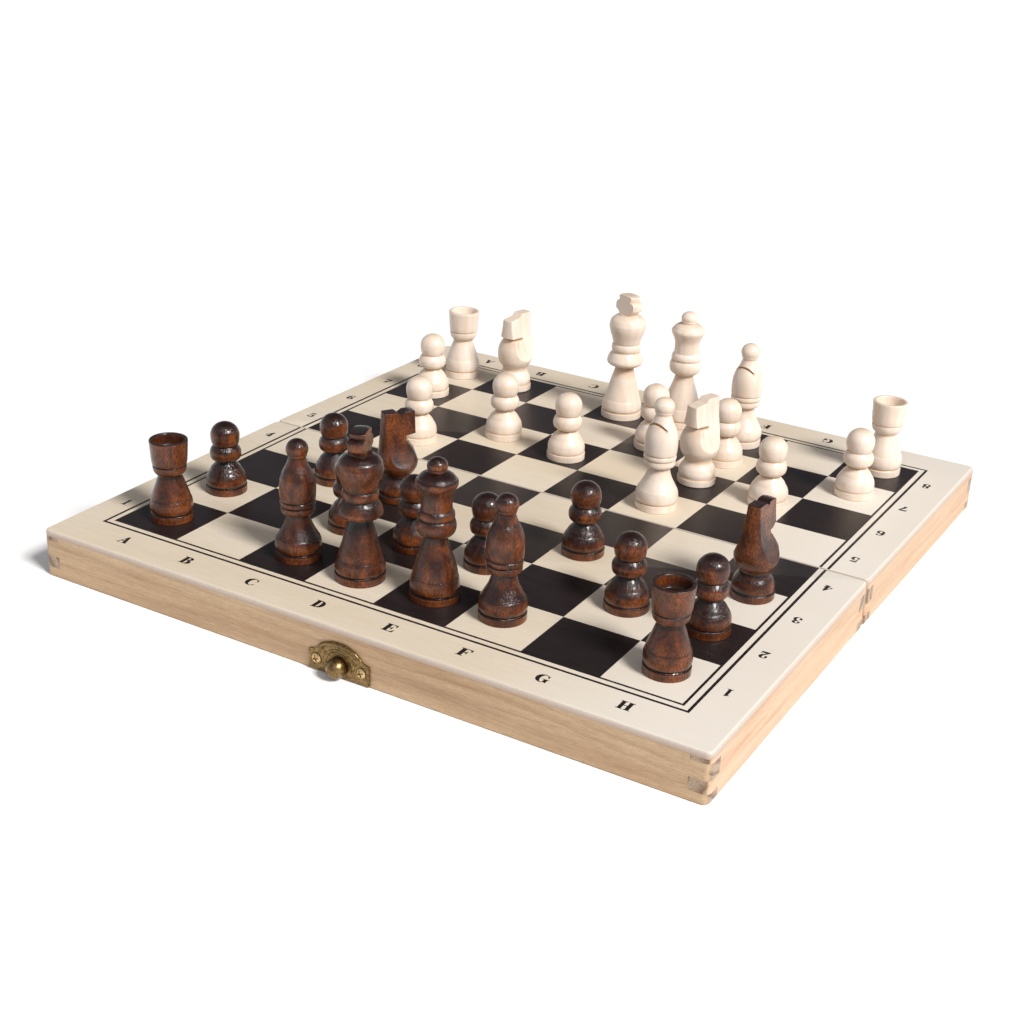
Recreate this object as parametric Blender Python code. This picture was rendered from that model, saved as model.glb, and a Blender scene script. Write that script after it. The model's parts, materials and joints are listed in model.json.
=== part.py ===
"""Folding chess set: a hinged two-tray board with a latch, hasp and thirty-two turned pieces."""

import math

import bmesh
import bpy
from mathutils import Matrix, Vector

# ---- board, in millimetres -------------------------------------------------
HALF_WIDTH = 144.5      # half of the board's width, left to right
HALF_DEPTH = 147.35     # one tray, from its seam face to its outer face
TRAY_HEIGHT = 20.0      # rim to playing surface
PANEL_T = 2.5           # thickness of the playing panel
WALL_T = 7.5            # thickness of the frame walls
GLUE = 0.05             # glue line between glued faces
EDGE_R = 1.4            # rounding of the outer top edge
SEAM_R = 0.5            # rounding of the top edge at the seam
RIM_R = 0.8             # rounding of the lower outer edge
CORNER_R = 2.5          # rounding of the upright corners
TAB_LOW = 4.2           # finger joint levels, above the rim
TAB_MID = 9.2
TAB_HIGH = 15.7

# ---- fold hinge ------------------------------------------------------------
BARREL_R = 0.9          # hinge knuckle, whose underside stands on the table
BORE_R = 0.5
PIN_R = 0.43
AXIS_GAP = 0.15         # from the hinge axis to each seam face and each rim plane
LEAF_X = 95.0           # hinge centres, left and right of the middle
LEAF_LENGTH = 24.0
LEAF_DEPTH = 6.3
LEAF_T = 0.5
KNUCKLE = 4.0           # half length of the middle knuckle

# ---- latch and hasp --------------------------------------------------------
PLATE_T = 0.9
KNOB_R = 4.1
KNOB_UP = 5.0           # ball centre above the rim
KNOB_OUT = 2.1          # ball centre in front of the wall
SCREW_X = 9.8
SCREW_UP = 5.3
SCREW_R = 1.95
SHANK_R = 0.9
SHANK_L = 5.5
HASP_SCREW_UP = 6.5
HASP_PIVOT_UP = 1.9
HASP_PIVOT_OUT = 1.35
HASP_R = 1.1
FLAP_T = 0.7
FLAP_HALF = 5.9
FLAP_LENGTH = 13.5

# ---- squares and pieces ----------------------------------------------------
SQUARE = 31.35
PRINT_SHIFT = -1.5      # the print sits a little left of the board's middle
LIFT_GAP = 0.06         # piece above the playing surface
ROUND = 16
PAWN_ROUND = 12

MM = 0.001
TILT = math.asin((BARREL_R + AXIS_GAP) / (AXIS_GAP + HALF_DEPTH))
SEAM_Y = (KNOB_OUT + KNOB_R - HASP_PIVOT_OUT - HASP_R) / 2 * MM
AXIS_Z = BARREL_R * MM
OUTER = AXIS_GAP + HALF_DEPTH
RIM = AXIS_GAP

for stale in list(bpy.data.objects):
    bpy.data.objects.remove(stale, do_unlink=True)

REAR = Matrix.Translation((0, SEAM_Y, AXIS_Z)) @ Matrix.Rotation(-TILT, 4, "X")
FRONT = Matrix.Translation((0, SEAM_Y, AXIS_Z)) @ Matrix.Rotation(math.pi, 4, "Z") @ Matrix.Rotation(-TILT, 4, "X")


def material(name, colour, roughness, metallic=0.0):
    made = bpy.data.materials.new(name)
    made.use_nodes = True
    shader = made.node_tree.nodes["Principled BSDF"]
    shader.inputs["Base Color"].default_value = (*colour, 1.0)
    shader.inputs["Roughness"].default_value = roughness
    shader.inputs["Metallic"].default_value = metallic
    made.diffuse_color = (*colour, 1.0)
    return made


FINISH = {
    "panel": ((0.80, 0.70, 0.53), 0.45, 0.0),
    "frame": ((0.62, 0.45, 0.28), 0.50, 0.0),
    "dark": ((0.13, 0.045, 0.02), 0.28, 0.0),
    "light": ((0.87, 0.75, 0.58), 0.35, 0.0),
    "bronze": ((0.30, 0.22, 0.11), 0.38, 1.0),
    "screw": ((0.66, 0.54, 0.34), 0.35, 1.0),
    "steel": ((0.60, 0.58, 0.55), 0.35, 1.0),
}


def mesh_object(name, verts, faces):
    data = bpy.data.meshes.new(name)
    data.from_pydata([tuple(v) for v in verts], [], faces)
    shaped = bmesh.new()
    shaped.from_mesh(data)
    bmesh.ops.recalc_face_normals(shaped, faces=shaped.faces)
    if shaped.calc_volume(signed=True) < 0:
        bmesh.ops.reverse_faces(shaped, faces=shaped.faces)
    shaped.to_mesh(data)
    shaped.free()
    obj = bpy.data.objects.new(name, data)
    bpy.context.scene.collection.objects.link(obj)
    return obj


def box(x0, x1, y0, y1, z0, z1, name="block"):
    verts = [(x, y, z) for z in (z0, z1) for y in (y0, y1) for x in (x0, x1)]
    faces = [(0, 2, 3, 1), (4, 5, 7, 6), (0, 1, 5, 4), (2, 6, 7, 3), (0, 4, 6, 2), (1, 3, 7, 5)]
    return mesh_object(name, verts, faces)


def boolean(base, other, operation):
    """Applies one exact Boolean in place and removes the second object."""
    step = base.modifiers.new("step", "BOOLEAN")
    step.operation = operation
    step.solver = "EXACT"
    step.object = other
    bpy.context.view_layer.update()
    graph = bpy.context.evaluated_depsgraph_get()
    made = bpy.data.meshes.new_from_object(base.evaluated_get(graph))
    base.modifiers.clear()
    stale = base.data
    base.data = made
    bpy.data.meshes.remove(stale)
    bpy.data.objects.remove(other, do_unlink=True)
    return base


def loft(rings, name="loft"):
    """A closed body through equal rings of points, capped at both ends."""
    count = len(rings[0])
    verts = [p for ring in rings for p in ring]
    faces = [tuple(range(count))]
    for level in range(len(rings) - 1):
        low = level * count
        for i in range(count):
            j = (i + 1) % count
            faces.append((low + i, low + j, low + count + j, low + count + i))
    faces.append(tuple(range(len(verts) - count, len(verts))))
    return mesh_object(name, verts, faces)


def lathe(profile, segments, name="turning", axis="Z"):
    """Turns (radius, height) points about an axis; a zero radius closes to one point."""
    verts = []
    rows = []
    for radius, height in profile:
        if radius == 0:
            rows.append([len(verts)])
            verts.append((0, 0, height))
            continue
        rows.append(range(len(verts), len(verts) + segments))
        for i in range(segments):
            turn = 2 * math.pi * i / segments
            verts.append((radius * math.cos(turn), radius * math.sin(turn), height))
    faces = []
    for low, high in zip(rows, rows[1:]):
        for i in range(segments):
            j = (i + 1) % segments
            if len(low) == 1:
                faces.append((low[0], high[j], high[i]))
            elif len(high) == 1:
                faces.append((low[i], low[j], high[0]))
            else:
                faces.append((low[i], low[j], high[j], high[i]))
    if len(rows[0]) > 1:
        faces.append(tuple(reversed(rows[0])))
    if len(rows[-1]) > 1:
        faces.append(tuple(rows[-1]))
    if axis == "Y":
        verts = [(x, z, y) for x, y, z in verts]
    if axis == "X":
        verts = [(z, x, y) for x, y, z in verts]
    return mesh_object(name, verts, faces)


def arc(centre_r, centre_z, half_r, half_z, start, end, steps):
    """Points along an elliptical arc, angles in degrees from straight out."""
    points = []
    for i in range(steps + 1):
        turn = math.radians(start + (end - start) * i / steps)
        points.append((max(0.0, centre_r + half_r * math.cos(turn)), centre_z + half_z * math.sin(turn)))
    return points


def finish(obj, name, slot, frame, smooth=0.0):
    """Names the body, scales it to metres and sets it in its frame."""
    obj.name = name
    obj.data.name = name
    obj.data.transform(Matrix.Scale(MM, 4))
    obj.data.materials.clear()
    colour, roughness, metallic = FINISH[slot]
    obj.data.materials.append(material(name + "_finish", colour, roughness, metallic))
    if smooth:
        obj.data.shade_smooth()
        obj.data.set_sharp_from_angle(angle=math.radians(smooth))
    obj.matrix_world = frame
    return obj


# ---- the two trays ---------------------------------------------------------
def outline(inset, seam_inset, height, radius, per_corner=4):
    """The tray's rounded footprint at one height, drawn in from its edges."""
    left, right = -HALF_WIDTH + inset, HALF_WIDTH - inset
    near, far = AXIS_GAP + seam_inset, OUTER - inset
    corners = ((right, near, -90), (right, far, 0), (left, far, 90), (left, near, 180))
    points = []
    for x, y, start in corners:
        cx = x - math.copysign(radius, x)
        cy = y + radius if y == near else y - radius
        for i in range(per_corner):
            turn = math.radians(start + 90 * i / (per_corner - 1))
            points.append((cx + radius * math.cos(turn), cy + radius * math.sin(turn), height))
    return points


def footprint():
    """A solid that rounds the frame's upright corners and lower outer edge."""
    rings = []
    for i in range(3):
        turn = math.radians(45 * i)
        inset = RIM_R * (1 - math.sin(turn))
        rings.append(outline(inset, inset * 0.3, RIM + RIM_R * (1 - math.cos(turn)), CORNER_R - inset))
    rings.append(outline(0, 0, RIM + TRAY_HEIGHT, CORNER_R))
    return loft(rings, "footprint")


def long_wall(y0, y1):
    """A wall that runs left to right, with its fingers at both ends."""
    top = RIM + TRAY_HEIGHT - PANEL_T - GLUE
    wall = box(-HALF_WIDTH - 1, HALF_WIDTH + 1, y0, y1, RIM, top, "wall")
    inner = HALF_WIDTH - WALL_T - GLUE
    for side in (-1, 1):
        x0, x1 = sorted((side * inner, side * (HALF_WIDTH + 3)))
        for low, high in ((TAB_LOW, TAB_MID), (TAB_HIGH, TRAY_HEIGHT)):
            boolean(wall, box(x0, x1, y0 - 3, y1 + 3, RIM + low - GLUE, RIM + high + GLUE), "DIFFERENCE")
    return boolean(wall, footprint(), "INTERSECT")


def side_wall(side):
    """A wall that runs from the seam outward, fingered into the two long ones."""
    top = RIM + TRAY_HEIGHT - PANEL_T - GLUE
    x0, x1 = sorted((side * (HALF_WIDTH - WALL_T), side * (HALF_WIDTH + 1)))
    wall = box(x0, x1, AXIS_GAP - 1, OUTER + 1, RIM, top, "wall")
    for y0, y1 in ((AXIS_GAP - 3, AXIS_GAP + WALL_T + GLUE), (OUTER - WALL_T - GLUE, OUTER + 3)):
        for low, high in ((-2, TAB_LOW), (TAB_MID, TAB_HIGH)):
            boolean(wall, box(x0 - 3, x1 + 3, y0, y1, RIM + low, RIM + high), "DIFFERENCE")
    return boolean(wall, footprint(), "INTERSECT")


def top_panel():
    """The playing panel, its outer edge rounded over."""
    base = RIM + TRAY_HEIGHT - PANEL_T
    rings = [outline(0, 0, base, CORNER_R)]
    for i in range(4):
        turn = math.radians(30 * i)
        inset = EDGE_R * (1 - math.cos(turn))
        seam = SEAM_R * (1 - math.cos(turn))
        rings.append(outline(inset, seam, RIM + TRAY_HEIGHT - EDGE_R * (1 - math.sin(turn)), CORNER_R - inset))
    return loft(rings, "panel")


def seam_wall():
    """The wall along the seam, let in for the hinge leaves and their barrels."""
    wall = long_wall(AXIS_GAP, AXIS_GAP + WALL_T)
    half = LEAF_LENGTH / 2 + 0.15
    clear = BARREL_R + 0.15
    for x in (-LEAF_X, LEAF_X):
        boolean(wall, box(x - half, x + half, -1, LEAF_DEPTH + 0.15, -2, RIM + LEAF_T + 0.1), "DIFFERENCE")
        boolean(wall, box(x - half - 0.4, x + half + 0.4, -2, clear, -3, clear), "DIFFERENCE")
    return wall


def outer_wall(holes):
    """The wall farthest from the seam, with a pilot hole for each fixing."""
    wall = long_wall(OUTER - WALL_T, OUTER)
    for x, up, radius in holes:
        bore = lathe([(radius, OUTER - WALL_T + 1.2), (radius, OUTER + 2)], 8, "bore", "Y")
        bore.data.transform(Matrix.Translation((x, 0, RIM + up)))
        boolean(wall, bore, "DIFFERENCE")
    return wall


LATCH_HOLES = [(-SCREW_X, SCREW_UP, 1.1), (SCREW_X, SCREW_UP, 1.1), (0, KNOB_UP, 1.5)]
HASP_HOLES = [(-SCREW_X, HASP_SCREW_UP, 1.1), (SCREW_X, HASP_SCREW_UP, 1.1)]
for half, frame, holes in (("front", FRONT, LATCH_HOLES), ("rear", REAR, HASP_HOLES)):
    mirrored = -1 if half == "front" else 1
    finish(top_panel(), half + "_top_panel", "panel", frame, 40)
    finish(outer_wall(holes), half + "_outer_wall", "frame", frame)
    finish(seam_wall(), half + "_seam_wall", "frame", frame)
    finish(side_wall(-mirrored), half + "_left_wall", "frame", frame)
    finish(side_wall(mirrored), half + "_right_wall", "frame", frame)


# ---- fold hinges -----------------------------------------------------------
def knuckle(x0, x1, outer, inner, segments=12):
    """A tube along X about the origin."""
    rings = [(inner, x0), (outer, x0), (outer, x1), (inner, x1)]
    verts = []
    for radius, x in rings:
        for i in range(segments):
            turn = 2 * math.pi * (i + 0.5) / segments
            verts.append((x, radius * math.cos(turn), radius * math.sin(turn)))
    faces = []
    for level in range(4):
        low, high = level * segments, (level + 1) % 4 * segments
        for i in range(segments):
            j = (i + 1) % segments
            faces.append((low + i, low + j, high + j, high + i))
    return mesh_object("knuckle", verts, faces)


def hinge_leaf(spans):
    """A leaf plate let into the rim, with a knuckle over each span."""
    start = BARREL_R + 0.15
    half = LEAF_LENGTH / 2
    leaf = box(-half, half, start, LEAF_DEPTH, RIM, RIM + LEAF_T, "leaf")
    for x0, x1 in spans:
        boolean(leaf, box(x0, x1, 0.58, start + 1, RIM, RIM + LEAF_T), "UNION")
        boolean(leaf, knuckle(x0, x1, BARREL_R, BORE_R), "UNION")
    return leaf


for label, x in (("left", -LEAF_X), ("right", LEAF_X)):
    half = LEAF_LENGTH / 2
    outer_spans = ((-half, -KNUCKLE - 0.1), (KNUCKLE + 0.1, half))
    place = Matrix.Translation((x * MM, 0, 0))
    turned = Matrix.Translation((-x * MM, 0, 0))
    finish(hinge_leaf(outer_spans), label + "_hinge_front_leaf", "bronze", FRONT @ turned)
    finish(hinge_leaf(((-KNUCKLE, KNUCKLE),)), label + "_hinge_rear_leaf", "bronze", REAR @ place)
    pin = lathe([(PIN_R, -half - 0.2), (PIN_R, half + 0.2)], 12, "pin", "X")
    finish(pin, label + "_hinge_pin", "steel", REAR @ place)


# ---- latch on the front tray -----------------------------------------------
def eyebrow(low, thickness, out):
    """An arched plate with square ears, its back on the wall."""
    half = [(13.4, low), (13.4, 8.5), (11.2, 9.0)]
    for i in range(1, 5):
        turn = math.radians(18 + 72 * i / 4)
        half.append((10.8 * math.cos(turn), 6.8 + 7.7 * math.sin(turn)))
    points = half + [(-x, z) for x, z in reversed(half[:-1])]
    rings = []
    for y, inset in ((out, 0.0), (out + thickness * 0.6, 0.0), (out + thickness, 0.35)):
        ring = []
        for x, z in points:
            shift = -math.copysign(inset, x) if abs(x) > 0.01 else 0.0
            ring.append((x + shift, y, RIM + z + (inset if z == low else -inset)))
        rings.append(ring)
    return loft(rings, "plate")


def pierce(body, x, up, radius, y0, y1, segments=10):
    bore = lathe([(radius, y0), (radius, y1)], segments, "bore", "Y")
    bore.data.transform(Matrix.Translation((x, 0, RIM + up)))
    return boolean(body, bore, "DIFFERENCE")


def screw(front):
    """A raised countersunk screw; its head stands on the plate's front face."""
    profile = [
        (0.0, front + 0.7),
        (1.3, front + 0.6),
        (SCREW_R, front + 0.15),
        (SCREW_R, front + 0.05),
        (SHANK_R, front + 0.05),
        (SHANK_R, OUTER - SHANK_L + 0.8),
        (0.0, OUTER - SHANK_L),
    ]
    return lathe(profile, 10, "screw", "Y")


back = OUTER + GLUE
front_face = back + PLATE_T
plate = eyebrow(0.7, PLATE_T, back)
for x in (-SCREW_X, SCREW_X):
    pierce(plate, x, SCREW_UP, SHANK_R + 0.25, OUTER - 1, OUTER + 3)
pierce(plate, 0, KNOB_UP, 1.45, OUTER - 1, OUTER + 3)
finish(plate, "latch_plate", "bronze", FRONT)

neck = front_face + 0.06
ball = arc(0, OUTER + KNOB_OUT, KNOB_R, KNOB_R, 90, -8, 7)
ball[0] = (0.0, OUTER + KNOB_OUT + KNOB_R)
stem = [(3.4, neck + 0.2), (3.4, neck), (1.15, neck), (1.15, OUTER - 4.5), (0.0, OUTER - 5.2)]
knob = lathe(ball + stem, 14, "knob", "Y")
finish(knob, "latch_knob", "bronze", FRONT @ Matrix.Translation((0, 0, (RIM + KNOB_UP) * MM)), 50)

for label, x in (("left", SCREW_X), ("right", -SCREW_X)):
    spot = Matrix.Translation((x * MM, 0, (RIM + SCREW_UP) * MM))
    finish(screw(front_face), "latch_" + label + "_screw", "screw", FRONT @ spot, 40)

# ---- hasp on the rear tray -------------------------------------------------
PIVOT_Y = OUTER + HASP_PIVOT_OUT
PIVOT_Z = RIM + HASP_PIVOT_UP
PIVOT = REAR @ Matrix.Translation((0, PIVOT_Y * MM, PIVOT_Z * MM))
plate_t = 0.6
lift = PIVOT_Z + HASP_R + 0.15
hasp = box(-12.5, 12.5, back, back + plate_t, lift, RIM + 9.6, "hasp")
for x0, x1 in ((-7.4, -4.1), (4.1, 7.4)):
    boolean(hasp, box(x0, x1, back, back + plate_t, PIVOT_Z + 0.2, lift + 1), "UNION")
    tube = knuckle(x0, x1, HASP_R, 0.55)
    tube.data.transform(Matrix.Translation((0, PIVOT_Y, PIVOT_Z)))
    boolean(hasp, tube, "UNION")
for x in (-SCREW_X, SCREW_X):
    pierce(hasp, x, HASP_SCREW_UP, SHANK_R + 0.25, OUTER - 1, OUTER + 3)
finish(hasp, "hasp_plate", "bronze", REAR)

# The flap is drawn about its pivot, folded up against the plate.
flap_back = -0.55
rounded = [(-FLAP_HALF, HASP_R + 0.3), (FLAP_HALF, HASP_R + 0.3)]
for i in range(7):
    turn = math.radians(180 * i / 6)
    rounded.append((FLAP_HALF * math.cos(turn), FLAP_LENGTH - FLAP_HALF + FLAP_HALF * math.sin(turn)))
flap = loft([[(x, y, z) for x, z in rounded] for y in (flap_back, flap_back + FLAP_T)], "flap")
slot = []
for i in range(12):
    turn = math.radians(30 * i)
    slot.append((4.5 * math.cos(turn), HASP_PIVOT_UP + 2 * AXIS_GAP + KNOB_UP + 4.5 * math.sin(turn)))
boolean(flap, loft([[(x, y, z) for x, z in slot] for y in (-3, 3)], "slot"), "DIFFERENCE")
boolean(flap, box(-4.0, 4.0, flap_back, flap_back + FLAP_T, 0.72, HASP_R + 1.2), "UNION")
boolean(flap, knuckle(-4.0, 4.0, HASP_R, 0.55), "UNION")
finish(flap, "hasp_flap", "bronze", PIVOT)
hasp_pin = lathe([(0.48, -7.6), (0.48, 7.6)], 12, "pin", "X")
finish(hasp_pin, "hasp_pin", "steel", PIVOT)
for label, x in (("left", -SCREW_X), ("right", SCREW_X)):
    spot = Matrix.Translation((x * MM, 0, (RIM + HASP_SCREW_UP) * MM))
    finish(screw(back + plate_t), "hasp_" + label + "_screw", "screw", REAR @ spot, 40)

# ---- turned pieces: (radius, height) from the foot up ----------------------
PAWN = [(8.6, 0), (8.6, 2.7), (8.05, 3.2), (8.25, 5.0), (7.1, 9.5), (3.95, 13.2), (6.4, 16.6), (6.3, 18.8),
        (5.3, 20.4)] + arc(0, 24.9, 6.05, 5.6, -25, 90, 4)
BISHOP = [(9.0, 0), (9.0, 2.8), (8.4, 3.3), (9.0, 5.2), (8.6, 8.0), (6.0, 12.4), (4.4, 18.3), (6.5, 20.3),
          (6.85, 22.8), (7.0, 28.5), (6.7, 33.4), (4.9, 38.4), (3.3, 41.4)] + arc(0, 44.9, 4.3, 3.9, -28, 90, 4)
ROOK = [(8.6, 0), (8.6, 2.8), (8.1, 3.3), (8.6, 5.8), (8.1, 9.7), (5.7, 15.4), (4.75, 19.2), (6.5, 21.8),
        (7.2, 25.2), (7.7, 33.7), (6.4, 33.9), (5.6, 29.0), (0, 27.6)]
QUEEN = [(9.6, 0), (9.6, 2.9), (8.9, 3.4), (9.3, 5.6), (8.6, 10.4), (6.2, 18.0), (4.3, 25.0), (7.1, 27.8),
         (7.4, 31.2), (5.9, 35.4), (5.9, 41.6), (7.9, 46.0), (6.4, 48.6), (3.3, 50.2)] + arc(
             0, 52.4, 3.85, 3.2, -30, 90, 3)
KING = [(9.7, 0), (9.7, 3.0), (9.1, 3.6), (9.6, 5.4), (7.9, 12.0), (5.9, 18.8), (4.4, 24.8), (7.6, 27.4),
        (8.6, 30.6), (6.6, 33.8), (6.7, 39.4), (8.7, 45.6), (7.4, 48.6), (4.6, 50.4), (6.5, 53.2),
        (6.4, 56.4), (4.9, 57.4), (4.9, 59.6), (0, 60.3)]


# The knight's foot and bell, the round chest of the light one, and the two blanks for the heads.
KNIGHT_FOOT = [(8.5, 0), (8.5, 2.9), (7.9, 3.4), (8.2, 5.6), (7.0, 8.4), (5.8, 11.0), (7.6, 13.8), (8.65, 17.2)]
LIGHT_CHEST = [(8.6, 20.5), (7.7, 23.6), (5.6, 26.3), (0, 26.4)]
LIGHT_BLANK = [(8.0, 16.0), (8.3, 22.5), (7.9, 28.0), (7.6, 34.0), (7.4, 39.2)]
DARK_BLANK = [(8.2, 21.5), (7.3, 34.0), (7.0, 39.2)]
LIGHT_CHEEKS = [(15.0, 9.4), (19.5, 6.7), (24.6, 5.1), (30.6, 3.5), (39.9, 2.6)]
DARK_CHEEKS = [(15.0, 8.9), (20.2, 6.2), (28.2, 3.8), (39.9, 2.5)]


def turned(profile, segments):
    return lathe([(r, z) for r, z in profile], segments)


def slab(normal_turn, stations):
    """Removes everything beyond a sloping flat, given as (height, distance out) from the bottom up."""
    rings = []
    for z, start in stations:
        ring = [(start, -20, z), (30, -20, z), (30, 20, z), (start, 20, z)]
        rings.append([tuple(Matrix.Rotation(normal_turn, 3, "Z") @ Vector(p)) for p in ring])
    return loft(rings, "slab")


def pocket(points, half_width=20):
    """A cutter drawn as (forward, height) and run right across the head."""
    return loft([[(x, y, z) for x, z in points] for y in (-half_width, half_width)], "pocket")


def make_knight(colour):
    """The head faces +X and is sawn flat on both sides, with a cut under the jaw."""
    crown = 39.2
    if colour == "light":
        body = turned(KNIGHT_FOOT + LIGHT_CHEST, ROUND)
        head = turned(LIGHT_BLANK, ROUND)
        boolean(head, box(3.4, 20, -20, 20, 0, 26.9), "DIFFERENCE")
        boolean(body, head, "UNION")
        cheeks = LIGHT_CHEEKS
        ears = [(-0.2, crown - 2.4), (20, crown - 5.4), (20, 60), (-1.8, 60), (-1.8, crown - 0.3)]
        jaw = [(-0.4, 26.9), (20, 27.4), (20, 26.2), (-0.4, 26.2)]
    else:
        body = turned(KNIGHT_FOOT + DARK_BLANK, ROUND)
        cheeks = DARK_CHEEKS
        ears = [(0.8, crown - 1.7), (2.2, crown - 0.5), (4.4, crown - 0.5), (20, crown - 4), (20, 60), (-1.4, 60),
                (-1.4, crown - 0.3)]
        jaw = [(2.0, 27.4), (20, 33.3), (20, 16.0), (8.6, 17.6), (5.8, 22.4), (4.0, 25.2)]
    for turn in (90, -90):
        boolean(body, slab(math.radians(turn), cheeks), "DIFFERENCE")
    boolean(body, pocket(ears), "DIFFERENCE")
    return boolean(body, pocket(jaw), "DIFFERENCE")


def make_bishop():
    body = turned(BISHOP, ROUND)
    kerf = box(0, 20, -20, 20, -0.36, 0.36, "kerf")
    kerf.data.transform(Matrix.Translation((3.0, 0, 35.6)) @ Matrix.Rotation(math.radians(-58), 4, "Y"))
    return boolean(body, kerf, "DIFFERENCE")


def make_king():
    body = turned(KING, ROUND)
    for side in (-1, 1):
        x0, x1 = sorted((side * 3.0, side * 20))
        boolean(body, box(x0, x1, -20, 20, 50.9, 70), "DIFFERENCE")
    return body


MAKERS = {
    "pawn": lambda colour: turned(PAWN, PAWN_ROUND),
    "rook": lambda colour: turned(ROOK, ROUND),
    "bishop": lambda colour: make_bishop(),
    "queen": lambda colour: turned(QUEEN, ROUND),
    "king": lambda colour: make_king(),
    "knight": lambda colour: make_knight(colour),
}

# name: (file position, rank position, turn in degrees), in squares from the board's middle
PIECES = {
    "dark_rook_a": (-3.488, -3.517, 0),
    "dark_rook_h": (3.538, -3.450, 20),
    "dark_knight_c": (-1.500, -1.300, 58),
    "dark_knight_h": (3.601, -1.203, 86),
    "dark_bishop_c": (-1.479, -3.477, 100),
    "dark_bishop_f": (1.413, -3.403, 130),
    "dark_king": (-0.516, -3.523, 17),
    "dark_queen": (0.486, -3.418, 0),
    "dark_pawn_a": (-3.501, -2.417, 0),
    "dark_pawn_b": (-2.532, -1.308, 10),
    "dark_pawn_c": (-1.457, -2.445, 20),
    "dark_pawn_d": (-0.464, -2.434, 5),
    "dark_pawn_e": (0.553, -2.377, 15),
    "dark_pawn_f": (1.360, -1.343, 25),
    "dark_pawn_g": (2.492, -2.362, 8),
    "dark_pawn_h": (3.524, -2.336, 18),
    "light_rook_a": (-3.512, 3.527, 0),
    "light_rook_h": (3.573, 3.644, 20),
    "light_knight_b": (-2.511, 3.501, 258),
    "light_knight_f": (1.552, 1.659, 250),
    "light_bishop_low": (1.479, 0.513, 262),
    "light_bishop_f": (1.464, 3.460, 266),
    "light_king": (-0.541, 3.438, 69),
    "light_queen": (0.359, 3.672, 0),
    "light_pawn_a": (-3.405, 2.454, 0),
    "light_pawn_b": (-2.440, 0.626, 10),
    "light_pawn_c": (-1.522, 1.525, 20),
    "light_pawn_d": (-0.371, 1.350, 5),
    "light_pawn_e": (0.455, 2.503, 15),
    "light_pawn_f": (1.562, 2.575, 25),
    "light_pawn_g": (2.678, 1.531, 8),
    "light_pawn_h": (3.540, 2.582, 18),
}

for name, (file_at, rank_at, turn) in PIECES.items():
    colour, kind = name.split("_")[:2]
    frame = FRONT if rank_at < 0 else REAR
    way = -1 if rank_at < 0 else 1
    # On the front tray the local axes are turned half round, and so is the heading.
    x = way * (file_at * SQUARE + PRINT_SHIFT)
    y = abs(rank_at) * SQUARE - 0.15
    heading = math.radians(turn + (180 if rank_at < 0 else 0))
    spot = Matrix.Translation((x * MM, y * MM, (RIM + TRAY_HEIGHT + LIFT_GAP) * MM))
    finish(MAKERS[kind](colour), name, colour, frame @ spot @ Matrix.Rotation(heading, 4, "Z"), 35)
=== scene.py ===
"""Looks of the folding chess set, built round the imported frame."""

import json
import math

import bmesh
import bpy
from mathutils import Matrix, Vector


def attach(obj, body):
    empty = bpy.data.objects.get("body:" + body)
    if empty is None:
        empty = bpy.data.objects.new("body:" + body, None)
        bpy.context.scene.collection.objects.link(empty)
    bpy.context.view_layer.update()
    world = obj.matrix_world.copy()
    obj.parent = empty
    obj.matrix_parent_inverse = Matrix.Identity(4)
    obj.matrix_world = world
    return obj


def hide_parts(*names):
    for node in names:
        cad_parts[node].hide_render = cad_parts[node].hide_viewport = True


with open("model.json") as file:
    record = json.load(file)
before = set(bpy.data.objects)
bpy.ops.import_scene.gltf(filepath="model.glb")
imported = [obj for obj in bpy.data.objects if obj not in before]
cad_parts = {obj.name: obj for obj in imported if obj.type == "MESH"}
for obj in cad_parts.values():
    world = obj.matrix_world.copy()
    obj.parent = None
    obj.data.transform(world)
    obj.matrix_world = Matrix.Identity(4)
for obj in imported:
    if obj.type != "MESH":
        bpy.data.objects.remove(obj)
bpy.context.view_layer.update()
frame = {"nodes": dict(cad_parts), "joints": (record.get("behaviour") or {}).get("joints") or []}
MM = 0.001
JOINTS = {joint["name"]: joint for joint in frame["joints"]}

# ---- the two halves' own frames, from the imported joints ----
FOLD = Vector(JOINTS["fold"]["pos_m"])
UP = JOINTS["light_king_lift"]["axis"]
TILT = math.atan2(UP[1], UP[2])
REAR = Matrix.Translation(FOLD) @ Matrix.Rotation(-TILT, 4, "X")
FRONT = Matrix.Translation(FOLD) @ Matrix.Rotation(math.pi, 4, "Z") @ Matrix.Rotation(-TILT, 4, "X")
FRAMES = {"front": FRONT, "rear": REAR}


def local_box(node, base):
    """Lowest and highest corner of a CAD node in a half's own frame, in millimetres."""
    inverse = base.inverted()
    points = [inverse @ v.co for v in frame["nodes"][node].data.vertices]
    low = Vector([min(p[i] for p in points) for i in range(3)])
    high = Vector([max(p[i] for p in points) for i in range(3)])
    return low / MM, high / MM


panel_low, panel_high = local_box("rear_top_panel", REAR)
wall_low = local_box("rear_outer_wall", REAR)[0]
HALF_WIDTH = panel_high.x
NEAR = panel_low.y
OUTER = panel_high.y
RIM = wall_low.z
PANEL_LOW = panel_low.z
TOP = panel_high.z
WALL_T = OUTER - wall_low.y
GLUE = 0.01             # gap between glued faces
SQUARE = 31.35
PRINT_SHIFT = -1.5      # the print sits a little to one side of the board's middle
PRINT_SEAM = 0.14       # print lost to the cut between the halves


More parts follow.
